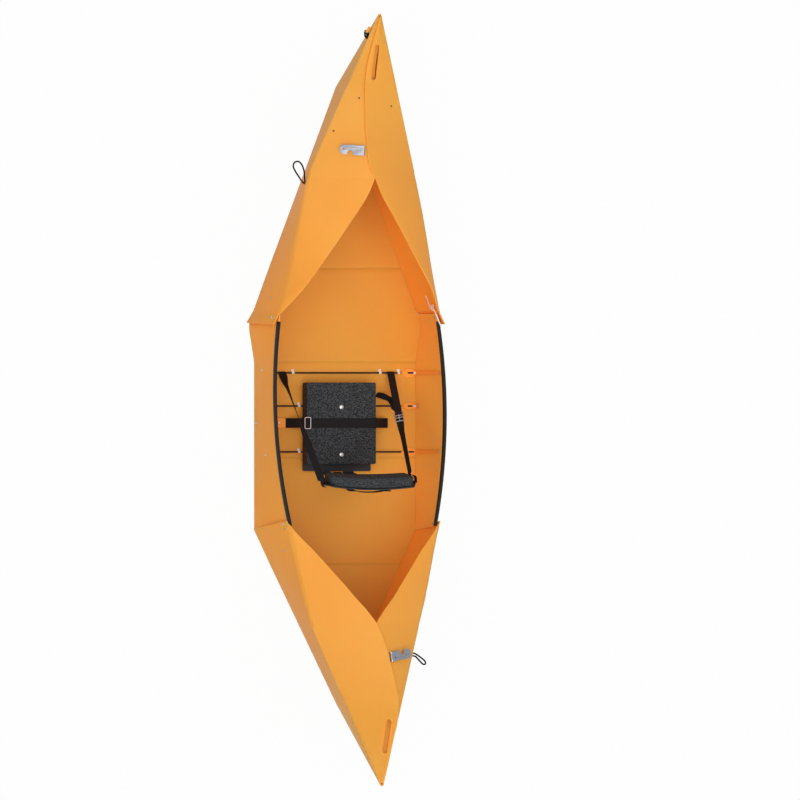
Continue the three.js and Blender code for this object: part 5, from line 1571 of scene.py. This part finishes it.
def strap_tail():
    """The loose end that leaves the ladder lock and twists down to the floor."""
    across, ahead, up, place = lock_frame()
    lock = place + up * 2.2
    points = [vec(172, 22, 9.5), vec(179, 20, 17), vec(190, 15, 34), vec(206, 4, 58), vec(212, -14, 88),
              vec(210, -36, 112), lock - ahead * 30 + up * 2, lock - ahead * 12, lock + ahead * 8]
    ways = [vec(0.9, 0.4, 0.1), vec(0.8, 0.5, 0.3), vec(0.5, 0.5, 0.7), vec(0.3, 0.2, 0.9),
            vec(0.5, -0.2, 0.8), vec(0.8, -0.1, 0.5), across, across, across]
    band("strap_tail", points, ways, [23, 24] + [25] * 7, 1.6, 140, "hull")


strap_tail()

# Studio: a white floor that keeps the object's shadow, one soft light above


FLOOR_HALF, FLOOR_Z = 6.0, -0.0015
FLOOR_GREY, FLOOR_GLOW = 0.5, 0.97
FILL_STRENGTH, SUN_STRENGTH, SUN_SPREAD = 0.62, 1.7, 65
SUN_FROM, SUN_HEIGHT = (-0.36, -0.2, 1), 4000


def studio():
    """A floor that looks white to the camera and in reflections, but keeps the shadow and lights softly."""
    mesh = bpy.data.meshes.new("floor")
    around = ((-1, -1), (1, -1), (1, 1), (-1, 1))
    corners = [(x * FLOOR_HALF, y * FLOOR_HALF, FLOOR_Z) for x, y in around]
    mesh.from_pydata(corners, [], [(0, 1, 2, 3)])
    floor = linked("studio_floor", mesh)
    material = bpy.data.materials.new("studio_floor")
    material.use_nodes = True
    nodes, links = material.node_tree.nodes, material.node_tree.links
    nodes.clear()
    output, path = add_node(nodes, "OutputMaterial"), add_node(nodes, "LightPath")
    diffuse = add_node(nodes, "BsdfDiffuse", Color=(FLOOR_GREY, FLOOR_GREY, FLOOR_GREY, 1))
    glow = add_node(nodes, "Emission", Color=(1, 1, 1, 1))
    mix, soft = add_node(nodes, "MixShader"), add_node(nodes, "MixShader")
    either, any_ray = add_node(nodes, "Math"), add_node(nodes, "Math")
    either.operation = any_ray.operation = "MAXIMUM"
    soft.inputs[0].default_value = FLOOR_GLOW
    for source, target in ((path.outputs["Is Camera Ray"], either.inputs[0]),
                           (path.outputs["Is Glossy Ray"], either.inputs[1]),
                           (either.outputs[0], any_ray.inputs[0]),
                           (path.outputs["Is Transmission Ray"], any_ray.inputs[1]),
                           (diffuse.outputs[0], soft.inputs[1]), (glow.outputs[0], soft.inputs[2]),
                           (any_ray.outputs[0], mix.inputs[0]), (diffuse.outputs[0], mix.inputs[1]),
                           (soft.outputs[0], mix.inputs[2]), (mix.outputs[0], output.inputs["Surface"])):
        links.new(source, target)
    floor.data.materials.append(material)


def light_up():
    """A white world for the camera, a softer one for light, and one wide sun from port."""
    world = bpy.data.worlds.new("world")
    bpy.context.scene.world = world
    world.use_nodes = True
    nodes, links = world.node_tree.nodes, world.node_tree.links
    nodes.clear()
    output, path = add_node(nodes, "OutputWorld"), add_node(nodes, "LightPath")
    seen = add_node(nodes, "Background", Color=(1, 1, 1, 1), Strength=1.0)
    fill = add_node(nodes, "Background", Color=(1, 1, 1, 1), Strength=FILL_STRENGTH)
    mix = add_node(nodes, "MixShader")
    links.new(path.outputs["Is Camera Ray"], mix.inputs[0])
    links.new(fill.outputs[0], mix.inputs[1])
    links.new(seen.outputs[0], mix.inputs[2])
    links.new(mix.outputs[0], output.inputs["Surface"])
    sun_data = bpy.data.lights.new("sun", "SUN")
    sun_data.energy = SUN_STRENGTH
    sun_data.angle = math.radians(SUN_SPREAD)
    sun = linked("sun", sun_data)
    sun.matrix_world = facing(SUN_FROM, (0, 0, SUN_HEIGHT))


studio()
light_up()
bpy.context.scene.view_settings.view_transform = "Standard"

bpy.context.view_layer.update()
